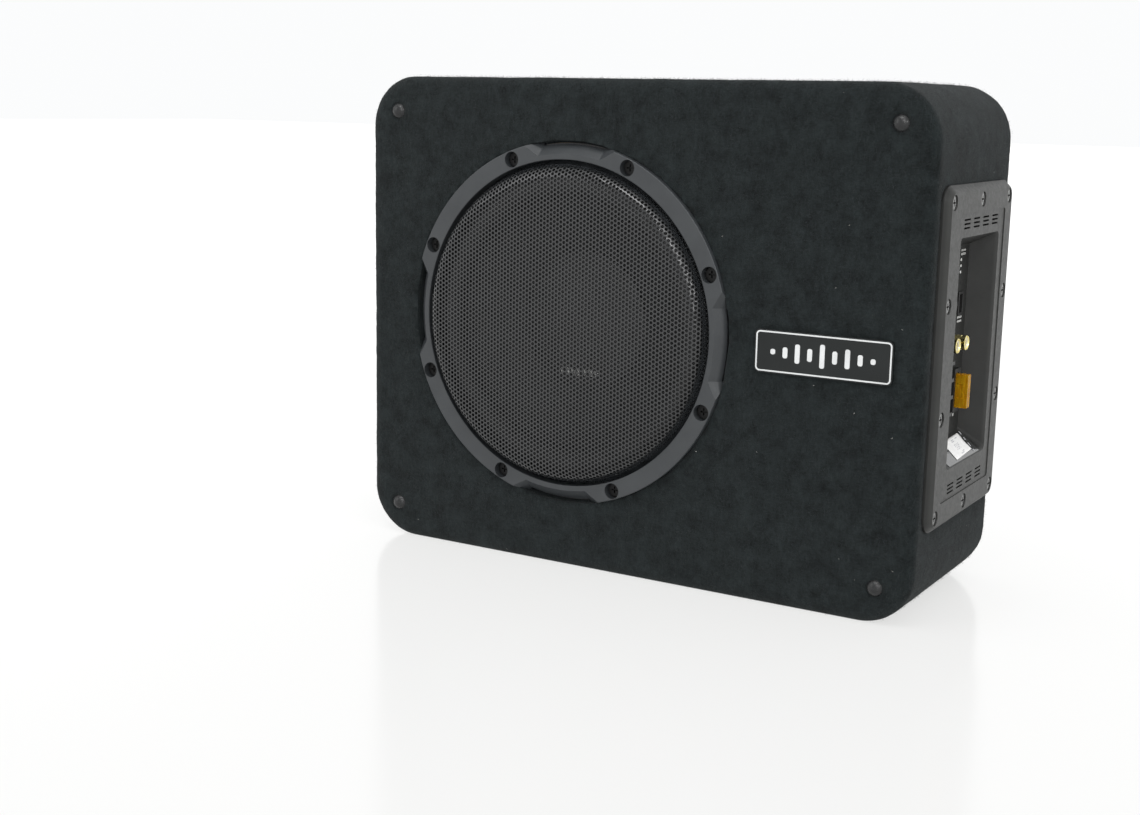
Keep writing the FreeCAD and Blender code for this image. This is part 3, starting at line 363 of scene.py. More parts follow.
FELT = felt_finish("felt", (0.0018, 0.0031, 0.0033), (0.0180, 0.0238, 0.0248))
FUZZ = plain_finish("felt_fuzz", (0.008, 0.010, 0.0105), (0.040, 0.046, 0.048), rough=0.9,
                    sheen=0.2, specular=0.2)
LINT = plain_finish("lint", (0.35, 0.34, 0.32), (0.75, 0.74, 0.72), rough=0.9, specular=0.2)
# the grille metal carries painted light: it grows lighter towards its side wall, deeper in the
# dish
MESH_METAL = plain_finish("grille_metal", (0.0055, 0.006, 0.0065), (0.010, 0.011, 0.012),
                          rough=0.24, swing=0.06, grain=1800.0, coat=0.5, fade=WALL_PAINTED_LIGHT)
RING_PLASTIC = moulded_finish("ring_plastic", (0.030, 0.033, 0.036), (0.041, 0.045, 0.048), 0.36)
# the panel plastic carries painted shade: it is darker inside the recessed tray, below the
# panel's face
PANEL_PLASTIC = moulded_finish("panel_plastic", (0.028, 0.0287, 0.0272), (0.038, 0.0386, 0.0368),
                               0.42, specular=0.26, fade=TRAY_PAINTED_SHADE)
BLACK_PLASTIC = moulded_finish("black_plastic", (0.006, 0.0065, 0.007), (0.012, 0.0125, 0.013),
                               0.27)
GOLD = plain_finish("gold_plate", (0.72, 0.61, 0.24), (0.92, 0.81, 0.38), rough=0.13, swing=0.06,
                    grain=600.0, bump=0.04, metal=1.0)
NICKEL = plain_finish("nickel_screw", (0.05, 0.05, 0.049), (0.15, 0.15, 0.147), rough=0.13,
                      swing=0.08, grain=900.0, bump=0.06, metal=1.0)
AMBER = plain_finish("fuse_amber", (0.52, 0.17, 0.003), (0.90, 0.56, 0.02), rough=0.14,
                     swing=0.05, patch=320.0, grain=300.0, bump=0.03, clear=0.6, specular=0.2,
                     ior=1.12, stretch=(1, 1, 0.3))
PRINT = plain_finish("white_print", (0.62, 0.62, 0.60), (0.78, 0.78, 0.76), rough=0.5)
PRINT_GREY = plain_finish("grey_print", (0.46, 0.46, 0.48), (0.58, 0.58, 0.60), rough=0.5)

FINISHES = {
    "carpet": FELT,
    "fibreboard": plain_finish("fibreboard", (0.24, 0.15, 0.08), (0.33, 0.22, 0.13), rough=0.85,
                               patch=30.0, grain=1400.0, bump=0.3, specular=0.2),
    "wadding": plain_finish("wadding", (0.55, 0.55, 0.53), (0.82, 0.82, 0.80), rough=0.95,
                            patch=120.0, grain=500.0, bump=0.7, depth=0.002, sheen=0.3,
                            specular=0.1),
    "black_plastic": BLACK_PLASTIC,
    "ring_plastic": RING_PLASTIC,
    "panel_plastic": PANEL_PLASTIC,
    "grille_metal": MESH_METAL,
    "black_screw": plain_finish("black_screw", (0.003, 0.003, 0.003), (0.008, 0.008, 0.008),
                                rough=0.55, grain=700.0, specular=0.3),
    "nickel_screw": NICKEL,
    "stamped_steel": plain_finish("stamped_steel", (0.010, 0.010, 0.011), (0.02, 0.02, 0.021),
                                  rough=0.4, grain=900.0, bump=0.2),
    "motor_steel": plain_finish("motor_steel", (0.42, 0.42, 0.38), (0.62, 0.61, 0.55),
                                rough=0.35, metal=1.0, patch=50.0, grain=900.0),
    "ferrite": plain_finish("ferrite", (0.02, 0.02, 0.02), (0.05, 0.05, 0.05), rough=0.6,
                            grain=700.0, bump=0.3),
    "cone_paper": plain_finish("cone_paper", (0.040, 0.041, 0.042), (0.062, 0.063, 0.064),
                               rough=0.55, patch=200.0, grain=900.0, bump=0.5, depth=0.0004),
    "cap_plastic": plain_finish("cap_plastic", (0.052, 0.053, 0.054), (0.072, 0.073, 0.074),
                                rough=0.42, patch=60.0, grain=900.0, bump=0.15),
    "surround_rubber": plain_finish("surround_rubber", (0.030, 0.030, 0.031),
                                    (0.046, 0.046, 0.047), rough=0.6, patch=90.0,
                                    grain=1200.0, bump=0.2, sheen=0.1),
    "spider_cloth": plain_finish("spider_cloth", (0.42, 0.29, 0.10), (0.62, 0.46, 0.20),
                                 rough=0.8, grain=1800.0, bump=0.8, depth=0.0003),
    "former_paper": plain_finish("former_paper", (0.32, 0.20, 0.08), (0.42, 0.28, 0.13),
                                 rough=0.6),
    "copper_wire": plain_finish("copper_wire", (0.42, 0.13, 0.04), (0.72, 0.30, 0.12),
                                rough=0.3, metal=1.0, grain=1600.0, stretch=(1, 6, 1)),
    "lead_wire": plain_finish("lead_wire", (0.25, 0.01, 0.01), (0.36, 0.02, 0.02), rough=0.45),
    "foam_gasket": plain_finish("foam_gasket", (0.012, 0.012, 0.012), (0.03, 0.03, 0.03),
                                rough=0.9, grain=1200.0, bump=0.8, depth=0.0004),
    "badge_black": plain_finish("badge_black", (0.005, 0.0065, 0.0065), (0.009, 0.0115, 0.0115),
                                rough=0.22, swing=0.04, patch=30.0, grain=500.0, bump=0.02,
                                specular=0.3),
    "badge_white": plain_finish("badge_white", (0.60, 0.61, 0.61), (0.72, 0.73, 0.73),
                                rough=0.3, grain=900.0, bump=0.05),
    "board_green": plain_finish("board_green", (0.008, 0.06, 0.02), (0.015, 0.10, 0.04),
                                rough=0.3, patch=220.0, grain=900.0, coat=0.3),
    "heatsink_alloy": plain_finish("heatsink_alloy", (0.52, 0.53, 0.54), (0.66, 0.67, 0.68),
                                   rough=0.32, metal=1.0, stretch=(6, 1, 1)),
    "part_black": moulded_finish("part_black", (0.010, 0.010, 0.010), (0.02, 0.02, 0.02), 0.42),
    "capacitor_sleeve": plain_finish("capacitor_sleeve", (0.006, 0.008, 0.03),
                                     (0.01, 0.013, 0.05), rough=0.28, coat=0.3),
    "gold_plate": GOLD,
    "jack_insulator": plain_finish("jack_insulator", (0.50, 0.47, 0.38), (0.62, 0.59, 0.50),
                                   rough=0.3),
    "fuse_amber": AMBER,
    "tin_plate": plain_finish("tin_plate", (0.52, 0.52, 0.50), (0.70, 0.70, 0.68), rough=0.25,
                              metal=1.0),
    "led_lens": plain_finish("led_lens", (0.60, 0.66, 0.64), (0.72, 0.78, 0.76), rough=0.1,
                             clear=0.6),
    "label_film": plain_finish("label_film", (0.030, 0.031, 0.031), (0.055, 0.056, 0.056),
                               rough=0.14, patch=120.0, grain=400.0, bump=0.05, coat=0.8),
    "sticker_white": plain_finish("sticker_white", (0.80, 0.80, 0.79), (0.90, 0.90, 0.89),
                                  rough=0.55, patch=90.0),
}


# rounding of the visible CAD edges, in millimetres, and the nodes whose edges stay sharp
EDGE_WIDTHS = {"amp_panel": 0.3, "badge_plate": 0.3, "fuse_body": 0.24, "fuse_holder": 0.3,
               "power_terminal_block": 0.3, "speaker_input_socket": 0.3,
               "remote_level_socket": 0.3, "gain_knob": 0.4, "crossover_knob": 0.4,
               "phase_switch": 0.2, "switch_housing": 0.2, "badge_inlay": 0.08}
CRISP_NODES = ("grille_ring", "grille_screws", "panel_screws", "terminal_screws",
               "corner_plugs", "rca_insulators")


def dress_cad_nodes():
    """Gives every CAD node the finish of its slot, and the visible ones clean edges."""
    for entry in frame["record"]["subparts"]:
        name = entry["node"]
        node = frame["nodes"][name]
        material = FINISHES[entry["material_slot"]]
        node.data.materials.clear()
        node.data.materials.append(material)
        if name in EDGE_WIDTHS:
            soften(node, EDGE_WIDTHS[name] * MM, 2, 30)
            node.modifiers["bevel"].use_clamp_overlap = name != "fuse_body"
        elif name in CRISP_NODES:
            add_weld(node)
            split = node.modifiers.new("crisp edges", "EDGE_SPLIT")
            split.split_angle = math.radians(28)


# ---- camera, lights and floor ------------------------------------------------------------
CAMERA_PLACE = Vector((0.4426, -0.8537, 0.2773))
CAMERA_YAW = math.radians(31.124)
CAMERA_PITCH = math.radians(11.012)
CAMERA_ROLL = math.radians(1.101)
CAMERA_LENS = 49.83
MESH_AIM = (-0.06, -0.1, 0.18)
# name, place, aim, width and height, and power
LIGHTS = (
    ("overhead", (0.3, -0.3, 1.9), (0, 0, 0.1), (1.8, 1.4), 4),
    ("front_left", (-1.5, -1.6, 1.1), (0, 0, 0.15), (1.0, 1.4), 6),
    ("right_softbox", (1.24, -1.28, 1.23), MESH_AIM, (0.35, 2.2), 9),
    ("top_softbox", (0.05, -0.9, 2.0), MESH_AIM, (1.0, 0.3), 6),
    ("right_edge", (1.9, -0.7, 0.93), (0.05, -0.05, 0.15), (0.3, 0.3), 3),
    ("front_high", (0.9, -1.55, 1.25), (0, -0.05, 0.15), (0.3, 0.3), 3),
)
FLOOR_REACH = 12.0


def make_camera():
    """The camera, from its place, its three turns and its lens."""
    forward = Vector((-math.sin(CAMERA_YAW) * math.cos(CAMERA_PITCH),
                      math.cos(CAMERA_YAW) * math.cos(CAMERA_PITCH), -math.sin(CAMERA_PITCH)))
    right = Vector((math.cos(CAMERA_YAW), math.sin(CAMERA_YAW), 0))
    up = right.cross(forward)
    rolled_right = math.cos(CAMERA_ROLL) * right + math.sin(CAMERA_ROLL) * up
    rolled_up = -math.sin(CAMERA_ROLL) * right + math.cos(CAMERA_ROLL) * up
    data = bpy.data.cameras.new("camera")
    data.lens = CAMERA_LENS
    data.sensor_width = 36
    data.clip_start = 0.02
    data.clip_end = 60
    camera = bpy.data.objects.new("camera", data)
    bpy.context.scene.collection.objects.link(camera)
    turn = Matrix((rolled_right, rolled_up, -forward)).transposed().to_4x4()
    camera.matrix_world = Matrix.Translation(CAMERA_PLACE) @ turn
    bpy.context.scene.camera = camera


def area_light(name, place, aim, size, power):
    """A white rectangular light that points at aim."""
    data = bpy.data.lights.new(name, "AREA")
    data.shape = "RECTANGLE"
    data.size, data.size_y = size
    data.energy = power
    light = bpy.data.objects.new(name, data)
    bpy.context.scene.collection.objects.link(light)
    light.location = place
    light.rotation_mode = "QUATERNION"
    light.rotation_quaternion = (Vector(aim) - Vector(place)).to_track_quat("-Z", "Y")


def make_stage():
    """The white surroundings, the lights and a pale glossy floor."""
    world = bpy.data.worlds.new("studio")
    bpy.context.scene.world = world
    world.use_nodes = True
    background = world.node_tree.nodes["Background"]
    background.inputs["Color"].default_value = (0.968, 0.975, 0.98, 1)
    background.inputs["Strength"].default_value = 1.0
    for light in LIGHTS:
        area_light(*light)

    floor_paint, nodes, links, shader = new_material("floor_paint")
    patches = noise_field(nodes, links, 0.8, 2.0)
    links.new(ramp(nodes, links, patches, [(0.3, (0.17, 0.17, 0.17)), (0.7, (0.19, 0.19, 0.19))]),
              shader.inputs["Base Color"])
    shader.inputs["Roughness"].default_value = 0.16
    shader.inputs["Specular IOR Level"].default_value = 0.12
    shader.inputs["Emission Color"].default_value = (1.0, 1.0, 0.99, 1)
    shader.inputs["Emission Strength"].default_value = 0.68
    mesh = bpy.data.meshes.new("floor")
    mesh.from_pydata([(x * FLOOR_REACH, y * FLOOR_REACH, BOTTOM) for x, y in SQUARE], [],
                     [(0, 1, 2, 3)])
    mesh.materials.append(floor_paint)
    floor = bpy.data.objects.new("floor", mesh)
    bpy.context.scene.collection.objects.link(floor)
    bpy.context.scene.view_settings.view_transform = "Standard"


# ---- carpet ------------------------------------------------------------------------------
def outline(inset):
    """Points round the box's outline, drawn in by inset, as (x, z)."""
    radius = OUTLINE_RADIUS - inset
    corner_steps = 18
    corners = ((RIGHT, TOP, 0), (LEFT, TOP, 90), (LEFT, BOTTOM, 180), (RIGHT, BOTTOM, 270))
    long_steps = round((RIGHT - LEFT - 2 * OUTLINE_RADIUS) / CARPET_STEP)
    short_steps = round((TOP - BOTTOM - 2 * OUTLINE_RADIUS) / CARPET_STEP)
    ring = []
    for index, (x, z, first) in enumerate(corners):
        centre_x = x - math.copysign(OUTLINE_RADIUS, x)
        centre_z = z - math.copysign(OUTLINE_RADIUS, z - MIDDLE_Z)
        for step in range(corner_steps + 1):
            turn = math.radians(first + 90 * step / corner_steps)
            ring.append(Vector((centre_x + radius * math.cos(turn),
                                centre_z + radius * math.sin(turn))))
        following = corners[(index + 1) % 4]
        turn = math.radians(first + 90)
        next_x = following[0] - math.copysign(OUTLINE_RADIUS, following[0])
        next_z = following[1] - math.copysign(OUTLINE_RADIUS, following[1] - MIDDLE_Z)
        end = Vector((next_x + radius * math.cos(turn), next_z + radius * math.sin(turn)))
        start = ring[-1]
        steps = long_steps if index % 2 == 0 else short_steps
        ring.extend(start.lerp(end, step / steps) for step in range(1, steps))
    return ring


def face_sheet(ring, holes):
    """Triangles that fill the outline ring, leaving round holes (x, z, radius) open."""
    points = list(ring)
    edges = [(index, (index + 1) % len(ring)) for index in range(len(ring))]
    for x, z, radius in holes:
        count = max(16, round(2 * math.pi * radius / CARPET_STEP))
        first = len(points)
        for step in range(count):
            turn = 2 * math.pi * step / count
            points.append(Vector((x + radius * math.cos(turn), z + radius * math.sin(turn))))
        edges += [(first + step, first + (step + 1) % count) for step in range(count)]
    margin = 0.6 * CARPET_STEP
    row_height = CARPET_STEP * math.sqrt(3) / 2
    half_x = (RIGHT - LEFT) / 2 - EDGE_SWEEP
    half_z = (TOP - BOTTOM) / 2 - EDGE_SWEEP
    corner = OUTLINE_RADIUS - EDGE_SWEEP
    rows = int(2 * half_z / row_height)
    columns = int(2 * half_x / CARPET_STEP)
    for row in range(1, rows):
        z = MIDDLE_Z - half_z + row * row_height
        for column in range(1, columns + 1):
            x = -half_x + (column - 0.5 * (row % 2)) * CARPET_STEP
            past_x = max(abs(x) - (half_x - corner), 0)
            past_z = max(abs(z - MIDDLE_Z) - (half_z - corner), 0)
            if math.hypot(past_x, past_z) > corner - margin:
                continue
            if any(math.hypot(x - hx, z - hz) < radius + margin for hx, hz, radius in holes):
                continue
            points.append(Vector((x, z)))
    made, _, triangles, kept, _, _ = delaunay_2d_cdt(points, edges, [], 1, 1e-7)
    inside = []
    for triangle in triangles:
        x = sum(made[index].x for index in triangle) / 3
        z = sum(made[index].y for index in triangle) / 3
        if not any(math.hypot(x - hx, z - hz) < radius * 0.995 for hx, hz, radius in holes):
            inside.append(triangle)
    return made, inside, kept


def corner_holes(radius):
    """A hole of this radius at each corner plug, as (x, z, radius)."""
    return [(side * (RIGHT - PLUG_INSET), z, radius) for side in (-1, 1)
            for z in (BOTTOM + PLUG_INSET, TOP - PLUG_INSET)]


def carpet_surface():
    """One skin over the whole box, as points and faces."""
    bends = 9
    rows = []
    for step in range(bends + 1):
        turn = math.pi / 2 * step / bends
        rows.append((EDGE_SWEEP * (1 - math.sin(turn)),
                     FRONT + EDGE_ROUND * (1 - math.cos(turn))))
    straight = round((BACK - FRONT - 2 * EDGE_ROUND) / CARPET_STEP)
    for step in range(1, straight):
        rows.append((0.0, FRONT + EDGE_ROUND
                     + (BACK - FRONT - 2 * EDGE_ROUND) * step / straight))
    for step in range(bends + 1):
        turn = math.pi / 2 * (1 - step / bends)
        rows.append((EDGE_SWEEP * (1 - math.sin(turn)),
                     BACK - EDGE_ROUND * (1 - math.cos(turn))))
    points = []
    for inset, y in rows:
        points.extend(Vector((spot.x, y, spot.y)) for spot in outline(inset))
    count = len(points) // len(rows)
    faces = []
    for row in range(len(rows) - 1):
        for step in range(count):
            after = (step + 1) % count
            quad = (row * count + step, row * count + after,
                    (row + 1) * count + after, (row + 1) * count + step)
            centre = sum((points[index] for index in quad), Vector()) / 4
            behind_panel = (centre.x > RIGHT - EDGE_ROUND and abs(centre.y) < PANEL_CUT_Y
                            and abs(centre.z - PANEL_Z) < PANEL_CUT_Z)
            if not behind_panel:
                faces.append(tuple(reversed(quad)))
    for y, holes, flip in (
            (FRONT, [(AXIS.x, AXIS.z, DRIVER_HOLE)] + corner_holes(FRONT_PLUG_HOLE), False),
            (BACK, corner_holes(REAR_HOLE), True)):
        ring = outline(EDGE_SWEEP)
        made, triangles, kept = face_sheet(ring, holes)
        first_row = 0 if not flip else (len(rows) - 1) * count
        index_of = {}
        for index, spot in enumerate(made):
            sources = [source for source in kept[index] if source < count]
            if sources:
                index_of[index] = first_row + sources[0]
            else:
                index_of[index] = len(points)
                points.append(Vector((spot.x, y, spot.y)))
        for triangle in triangles:
            face = tuple(index_of[index] for index in triangle)
            faces.append(face if not flip else tuple(reversed(face)))
    return points, faces


def carpet_wave(point, normal):
    """How far the felt stands above or below its plain surface here."""
    slow = noise.noise(point * 60) * 0.22
    middling = noise.noise(point * 230) * 0.16
    quick = noise.noise(point * 600) * 0.10
    return normal * ((slow + middling + quick) * MM)


def make_carpet():
    """The felt skin, made uneven and given a cut edge round its holes."""
    points, faces = carpet_surface()
    carpet = piece("carpet", points, faces, FELT)
    mesh = carpet.data
    moved = []
    for vertex in mesh.vertices:
        near_floor = vertex.co.z < BOTTOM + 2 * MM
        moved.append(vertex.co if near_floor else
                     vertex.co + carpet_wave(vertex.co, vertex.normal))
    mesh.vertices.foreach_set("co", np.array([tuple(co) for co in moved]).ravel())
    mesh.update()
    lip = carpet.modifiers.new("cut edge", "SOLIDIFY")
    lip.thickness = LIP_DEPTH
    lip.offset = -1
    lip.use_rim_only = True
    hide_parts("carpet_front", "carpet_back", "carpet_wrap", "carpet_underside")
    return carpet


def hidden_under_a_part(point):
    """True where the grille ring, the amplifier panel or the floor covers the felt."""
    under_ring = (point.y < FRONT + MM
                  and math.hypot(point.x - AXIS.x, point.z - AXIS.z) < RING_RADIUS + MM)
    under_panel = (point.x > RIGHT - MM and abs(point.y) < PANEL_HIGH.y + 0.3 * MM
                   and PANEL_LOW.z < point.z < PANEL_HIGH.z)
    return under_ring or under_panel or point.z < BOTTOM + 0.5 * MM


def loose_fibres(carpet, count, reach, lift, width, seed):
    """Points and faces of thin curved ribbons that lie on the felt or stand from it."""
    draw = random.Random(seed)
    mesh = carpet.data
    areas = np.zeros(len(mesh.polygons))
    mesh.polygons.foreach_get("area", areas)
    chosen = np.searchsorted(np.cumsum(areas / areas.sum()),
                             [draw.random() for _ in range(count)])
    points = []
    faces = []
    for index in chosen:
        polygon = mesh.polygons[min(int(index), len(mesh.polygons) - 1)]
        start = Vector(polygon.center)
        if hidden_under_a_part(start):
            continue
        normal = Vector(polygon.normal)
        along = normal.orthogonal().normalized()
        along.rotate(Matrix.Rotation(draw.uniform(0, 2 * math.pi), 3, normal))
        side = normal.cross(along)
        start += (along * draw.uniform(-1, 1) + side * draw.uniform(-1, 1)) * CARPET_STEP / 2
        length = draw.uniform(*reach)
        height = draw.uniform(*lift)
        bow = draw.uniform(-0.4, 0.4) * length
        half = width / 2
        first = len(points)
        for share in (0.0, 0.5, 1.0):
            spine = (start + along * (length * share) + side * (bow * share * (1 - share) * 2)
                     + normal * (height * math.sin(math.pi * min(share * 0.75, 1)) - 0.1 * MM))
            narrow = half * (1 - 0.7 * share)
            for edge in (spine - side * narrow, spine + side * narrow):
                edge.z = max(edge.z, BOTTOM)
                points.append(edge)
        faces.append((first, first + 1, first + 3, first + 2))
        faces.append((first + 2, first + 3, first + 5, first + 4))
    return points, faces


def make_fuzz(carpet):
    """Fine dark fibres all over the felt, and a few pale specks of lint."""
    points, faces = loose_fibres(carpet, FIBRES, (1.1 * MM, 3.2 * MM), (0.15 * MM, 1.5 * MM),
                                 0.09 * MM, SEED)
    piece("carpet_fibres", points, faces, FUZZ)
    points, faces = loose_fibres(carpet, LINT_SPECKS, (0.3 * MM, 1.3 * MM),
                                 (0.3 * MM, 0.6 * MM), 0.25 * MM, SEED + 1)
    piece("carpet_lint", points, faces, LINT)


# ---- perforated grille -------------------------------------------------------------------
HOLE_PITCH = 2.6 * MM
HOLE_RADIUS = 0.96 * MM
SHEET_THICK = 0.8 * MM
CROWN_RADIUS = 85.7 * MM
CROWN_DROP = 0.6 * MM
SHOULDER = 8.0 * MM
WALL_RADIUS = CROWN_RADIUS + SHOULDER
FLANGE_RADIUS = 98.3 * MM
FLANGE_THICK = 1.0 * MM
# the pattern is split into three pieces at these distances along the sheet
CENTRE_REACH = 62 * MM
MIDDLE_REACH = 88 * MM


def grille_profile():
    """The dish's outer line as distance along it, radius, y and the outward slope."""
    top = MESH_LOW.y
    radii = list(np.linspace(0, CROWN_RADIUS, 40))
    levels = [top + CROWN_DROP * (radius / CROWN_RADIUS) ** 2 for radius in radii]
    for step in range(1, 17):
        turn = math.pi / 2 * step / 16
        radii.append(CROWN_RADIUS + SHOULDER * math.sin(turn))
        levels.append(top + CROWN_DROP + SHOULDER * (1 - math.cos(turn)))
    foot = levels[-1]
    for step in range(1, 7):
        radii.append(WALL_RADIUS)
        levels.append(foot + (MESH_HIGH.y - foot) * step / 6)
    radii, levels = np.array(radii), np.array(levels)
    lengths = np.concatenate([[0], np.cumsum(np.hypot(np.diff(radii), np.diff(levels)))])
    slope_r = np.gradient(radii, lengths)
    slope_y = np.gradient(levels, lengths)
    return lengths, radii, levels, slope_r, slope_y


def on_grille(flat, sink):
    """Lays flat pattern points (n, 2) on the dish, sunk inwards by sink."""
    lengths, radii, levels, slope_r, slope_y = grille_profile()
    distance = np.hypot(flat[:, 0], flat[:, 1])
    turn = np.arctan2(flat[:, 1], flat[:, 0])
    radius = np.interp(distance, lengths, radii)
    level = np.interp(distance, lengths, levels)
    out_r = np.interp(distance, lengths, slope_y)
    out_y = -np.interp(distance, lengths, slope_r)
    radius = radius - out_r * sink
    level = level - out_y * sink
    return np.stack([AXIS.x + radius * np.cos(turn), level, AXIS.z + radius * np.sin(turn)], 1)


def grille_cells(inner, outer):
    """Centres of the hexagonal cells whose distance from the axis lies between the two."""
    centres = []
    across = HOLE_PITCH * math.sqrt(3) / 2
    reach = int(outer / across) + 2
    for column in range(-reach, reach + 1):
        for row in range(-reach, reach + 1):
            x = column * across
            z = (row + 0.5 * (column % 2)) * HOLE_PITCH
            if inner <= math.hypot(x, z) < outer:
                centres.append((x, z))
    return np.array(centres)


def make_grille_band(name, inner, outer):
    """Cells with round holes, with both faces and the holes' walls."""
    centres = grille_cells(inner, outer)
    corners = np.array([(math.cos(math.radians(60 * k)), math.sin(math.radians(60 * k)))
                        for k in range(6)]) * HOLE_PITCH / math.sqrt(3)
    rims = np.array([(math.cos(math.radians(30 * k)), math.sin(math.radians(30 * k)))
                     for k in range(12)]) * HOLE_RADIUS
    corner_points = (centres[:, None, :] + corners[None]).reshape(-1, 2)
    keys = np.round(corner_points / (0.02 * MM)).astype(int)
    _, first, shared = np.unique(keys, axis=0, return_index=True, return_inverse=True)
    shared = shared.reshape(len(centres), 6)
    flat_corners = corner_points[first]
    flat_rims = (centres[:, None, :] + rims[None]).reshape(-1, 2)
    flat = np.concatenate([flat_corners, flat_rims])
    front = on_grille(flat, 0.0)
    back = on_grille(flat, SHEET_THICK)
    count = len(flat)
    faces = []
    for cell in range(len(centres)):
        base = len(flat_corners) + 12 * cell
        for k in range(6):
            corner, beside = int(shared[cell, k]), int(shared[cell, (k + 1) % 6])
            one, two, three = base + 2 * k, base + 2 * k + 1, base + (2 * k + 2) % 12
            for triangle in ((corner, two, one), (corner, beside, two), (beside, three, two)):
                faces.append(triangle)
                faces.append(tuple(count + index for index in reversed(triangle)))
        for k in range(12):
            one, two = base + k, base + (k + 1) % 12
            faces.append((one, two, count + two, count + one))
    return piece(name, np.concatenate([front, back]).tolist(), faces, MESH_METAL,
                 smooth=False)


def make_grille():
    """The perforated dish in three bands, and the plain flange under the ring."""
    edge = grille_profile()[0][-1] - 1.5 * MM
    front = make_grille_band("grille_mesh_centre", 0.0, CENTRE_REACH)
    make_grille_band("grille_mesh_middle", CENTRE_REACH, MIDDLE_REACH)
    make_grille_band("grille_mesh_shoulder", MIDDLE_REACH, edge)
    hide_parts("grille_mesh")
    seat = MESH_HIGH.y
    inner = WALL_RADIUS - SHEET_THICK
    flange = [(inner, seat - 2.6 * MM), (WALL_RADIUS, seat - 2.6 * MM),
              (WALL_RADIUS + 0.4 * MM, seat - FLANGE_THICK), (FLANGE_RADIUS, seat - FLANGE_THICK),
              (FLANGE_RADIUS, seat), (inner, seat)]
    points, faces = round_driver(flange, 180)
    piece("grille_mesh_flange", points, faces, MESH_METAL)


def make_rebate_lining():
    """Felt tucked down into the baffle's rebate, seen past the ring's thumb recesses."""
    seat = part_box("driver_basket")[0].y
    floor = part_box("driver_gasket")[1].y - 0.05 * MM
    wall, lip, inner = 108.1 * MM, 108.5 * MM, 106.2 * MM
    line = [(wall, seat - 2.05 * MM), (lip, seat - 2.05 * MM), (lip, seat - 2.6 * MM),
            (lip - 0.9 * MM, seat - 2.3 * MM), (lip - MM, seat + 0.2 * MM),
            (inner, seat + 0.3 * MM), (inner, floor), (wall, floor)]
    points, faces = round_driver(line, 180)
    piece("rebate_felt", points, faces, FELT)


# ---- the driver's flexing parts ----------------------------------------------------------
def follow_cone(made, fixed_radius, moving_radius):
    """Bakes a ring-shaped piece's place into its mesh and works out each corner's share of the
    way from the basket to the cone by its distance from the axis; the shares are not applied.
    """
    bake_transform(made)
    for vertex in made.data.vertices:
        distance = math.hypot(vertex.co.x - AXIS.x, vertex.co.z - AXIS.z)
        share = (fixed_radius - distance) / (fixed_radius - moving_radius)
        share = max(0.0, min(1.0, share))


def make_surround():
    """A half-round rubber roll between the basket's rim and the cone's edge."""
    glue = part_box("surround")[1].y
    outer, inner = 88 * MM, 74 * MM
    centre, half = (outer + inner) / 2, (outer - inner) / 2
    skin = 0.8 * MM
    roll = 6.6 * MM
    rim, neck = 92.8 * MM, 70 * MM
    over = [(rim, glue), (rim, glue - skin), (outer + 0.4 * MM, glue - skin)]
    under = []
    for step in range(21):
        turn = math.pi * step / 20
        over.append((centre + half * math.cos(turn), glue - skin - roll * math.sin(turn)))
        under.append((centre + (half + 0.1 * MM) * math.cos(turn), glue - roll * math.sin(turn)))
    over += [(inner - MM, glue - skin), (neck, glue - skin), (neck, glue)]
    points, faces = round_driver(over + under[::-1], 144)
    surround = piece("roll_surround", points, faces, FINISHES["surround_rubber"],
                     body=None)
    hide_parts("surround")
    follow_cone(surround, 87 * MM, 75 * MM)


def make_spider():
    """A corrugated cloth disc between the basket's shelf and the voice-coil former."""
    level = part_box("spider")[1].y - 2.0 * MM
    inner, outer = 28 * MM, 55 * MM
    skin = 0.5 * MM
    wave = 1.3 * MM
    line = [(25.6 * MM, level)]
    for step in range(61):
        share = step / 60
        radius = inner + (outer - inner) * share
        line.append((radius, level - wave * math.sin(share * 10 * math.pi)))
    line += [(56.5 * MM, level), (61.5 * MM, level)]
    profile = line + [(radius, height + skin) for radius, height in reversed(line)]
    points, faces = round_driver(profile, 120)
    spider = piece("corrugated_spider", points, faces, FINISHES["spider_cloth"],
                   body=None)
    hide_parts("spider")
    follow_cone(spider, 55 * MM, 28 * MM)


def make_tinsel():
    """Two braided leads that sag between the terminals and the cone."""
    low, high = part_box("tinsel_leads")
    points = []
    faces = []
    for side in (-1, 1):
        z = AXIS.z + 6 * MM * side
        start = Vector((AXIS.x + 52 * MM, low.y + 0.7 * MM, z))
        end = Vector((high.x - 6 * MM, high.y - 0.4 * MM, z))
        bulge = Vector((high.x + 3 * MM, low.y + 3 * MM, z))
        path = []
        for step in range(15):
            share = step / 14
            path.append(start * (1 - share) ** 2 + bulge * (2 * share * (1 - share))
                        + end * share ** 2)
        join(points, faces, tube(path, 0.6 * MM))
    leads = piece("braided_tinsel", points, faces, FINISHES["copper_wire"],
                  body=None)
    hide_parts("tinsel_leads")
    follow_cone(leads, 80 * MM, 54 * MM)


def print_bars(name, spots, lift_vector, material, body=CABINET):
    """Thin printed rectangles, each given by the four corners of its underside."""
    points = []
    faces = []
    for corners in spots:
        first = len(points)
        points += [corner + lift_vector for corner in corners]
        points += corners
        faces.append((first, first + 1, first + 2, first + 3))
        for k in range(4):
            after = (k + 1) % 4
            faces.append((first + k, first + 4 + k, first + 4 + after, first + after))
    piece(name, points, faces, material, body, smooth=False)


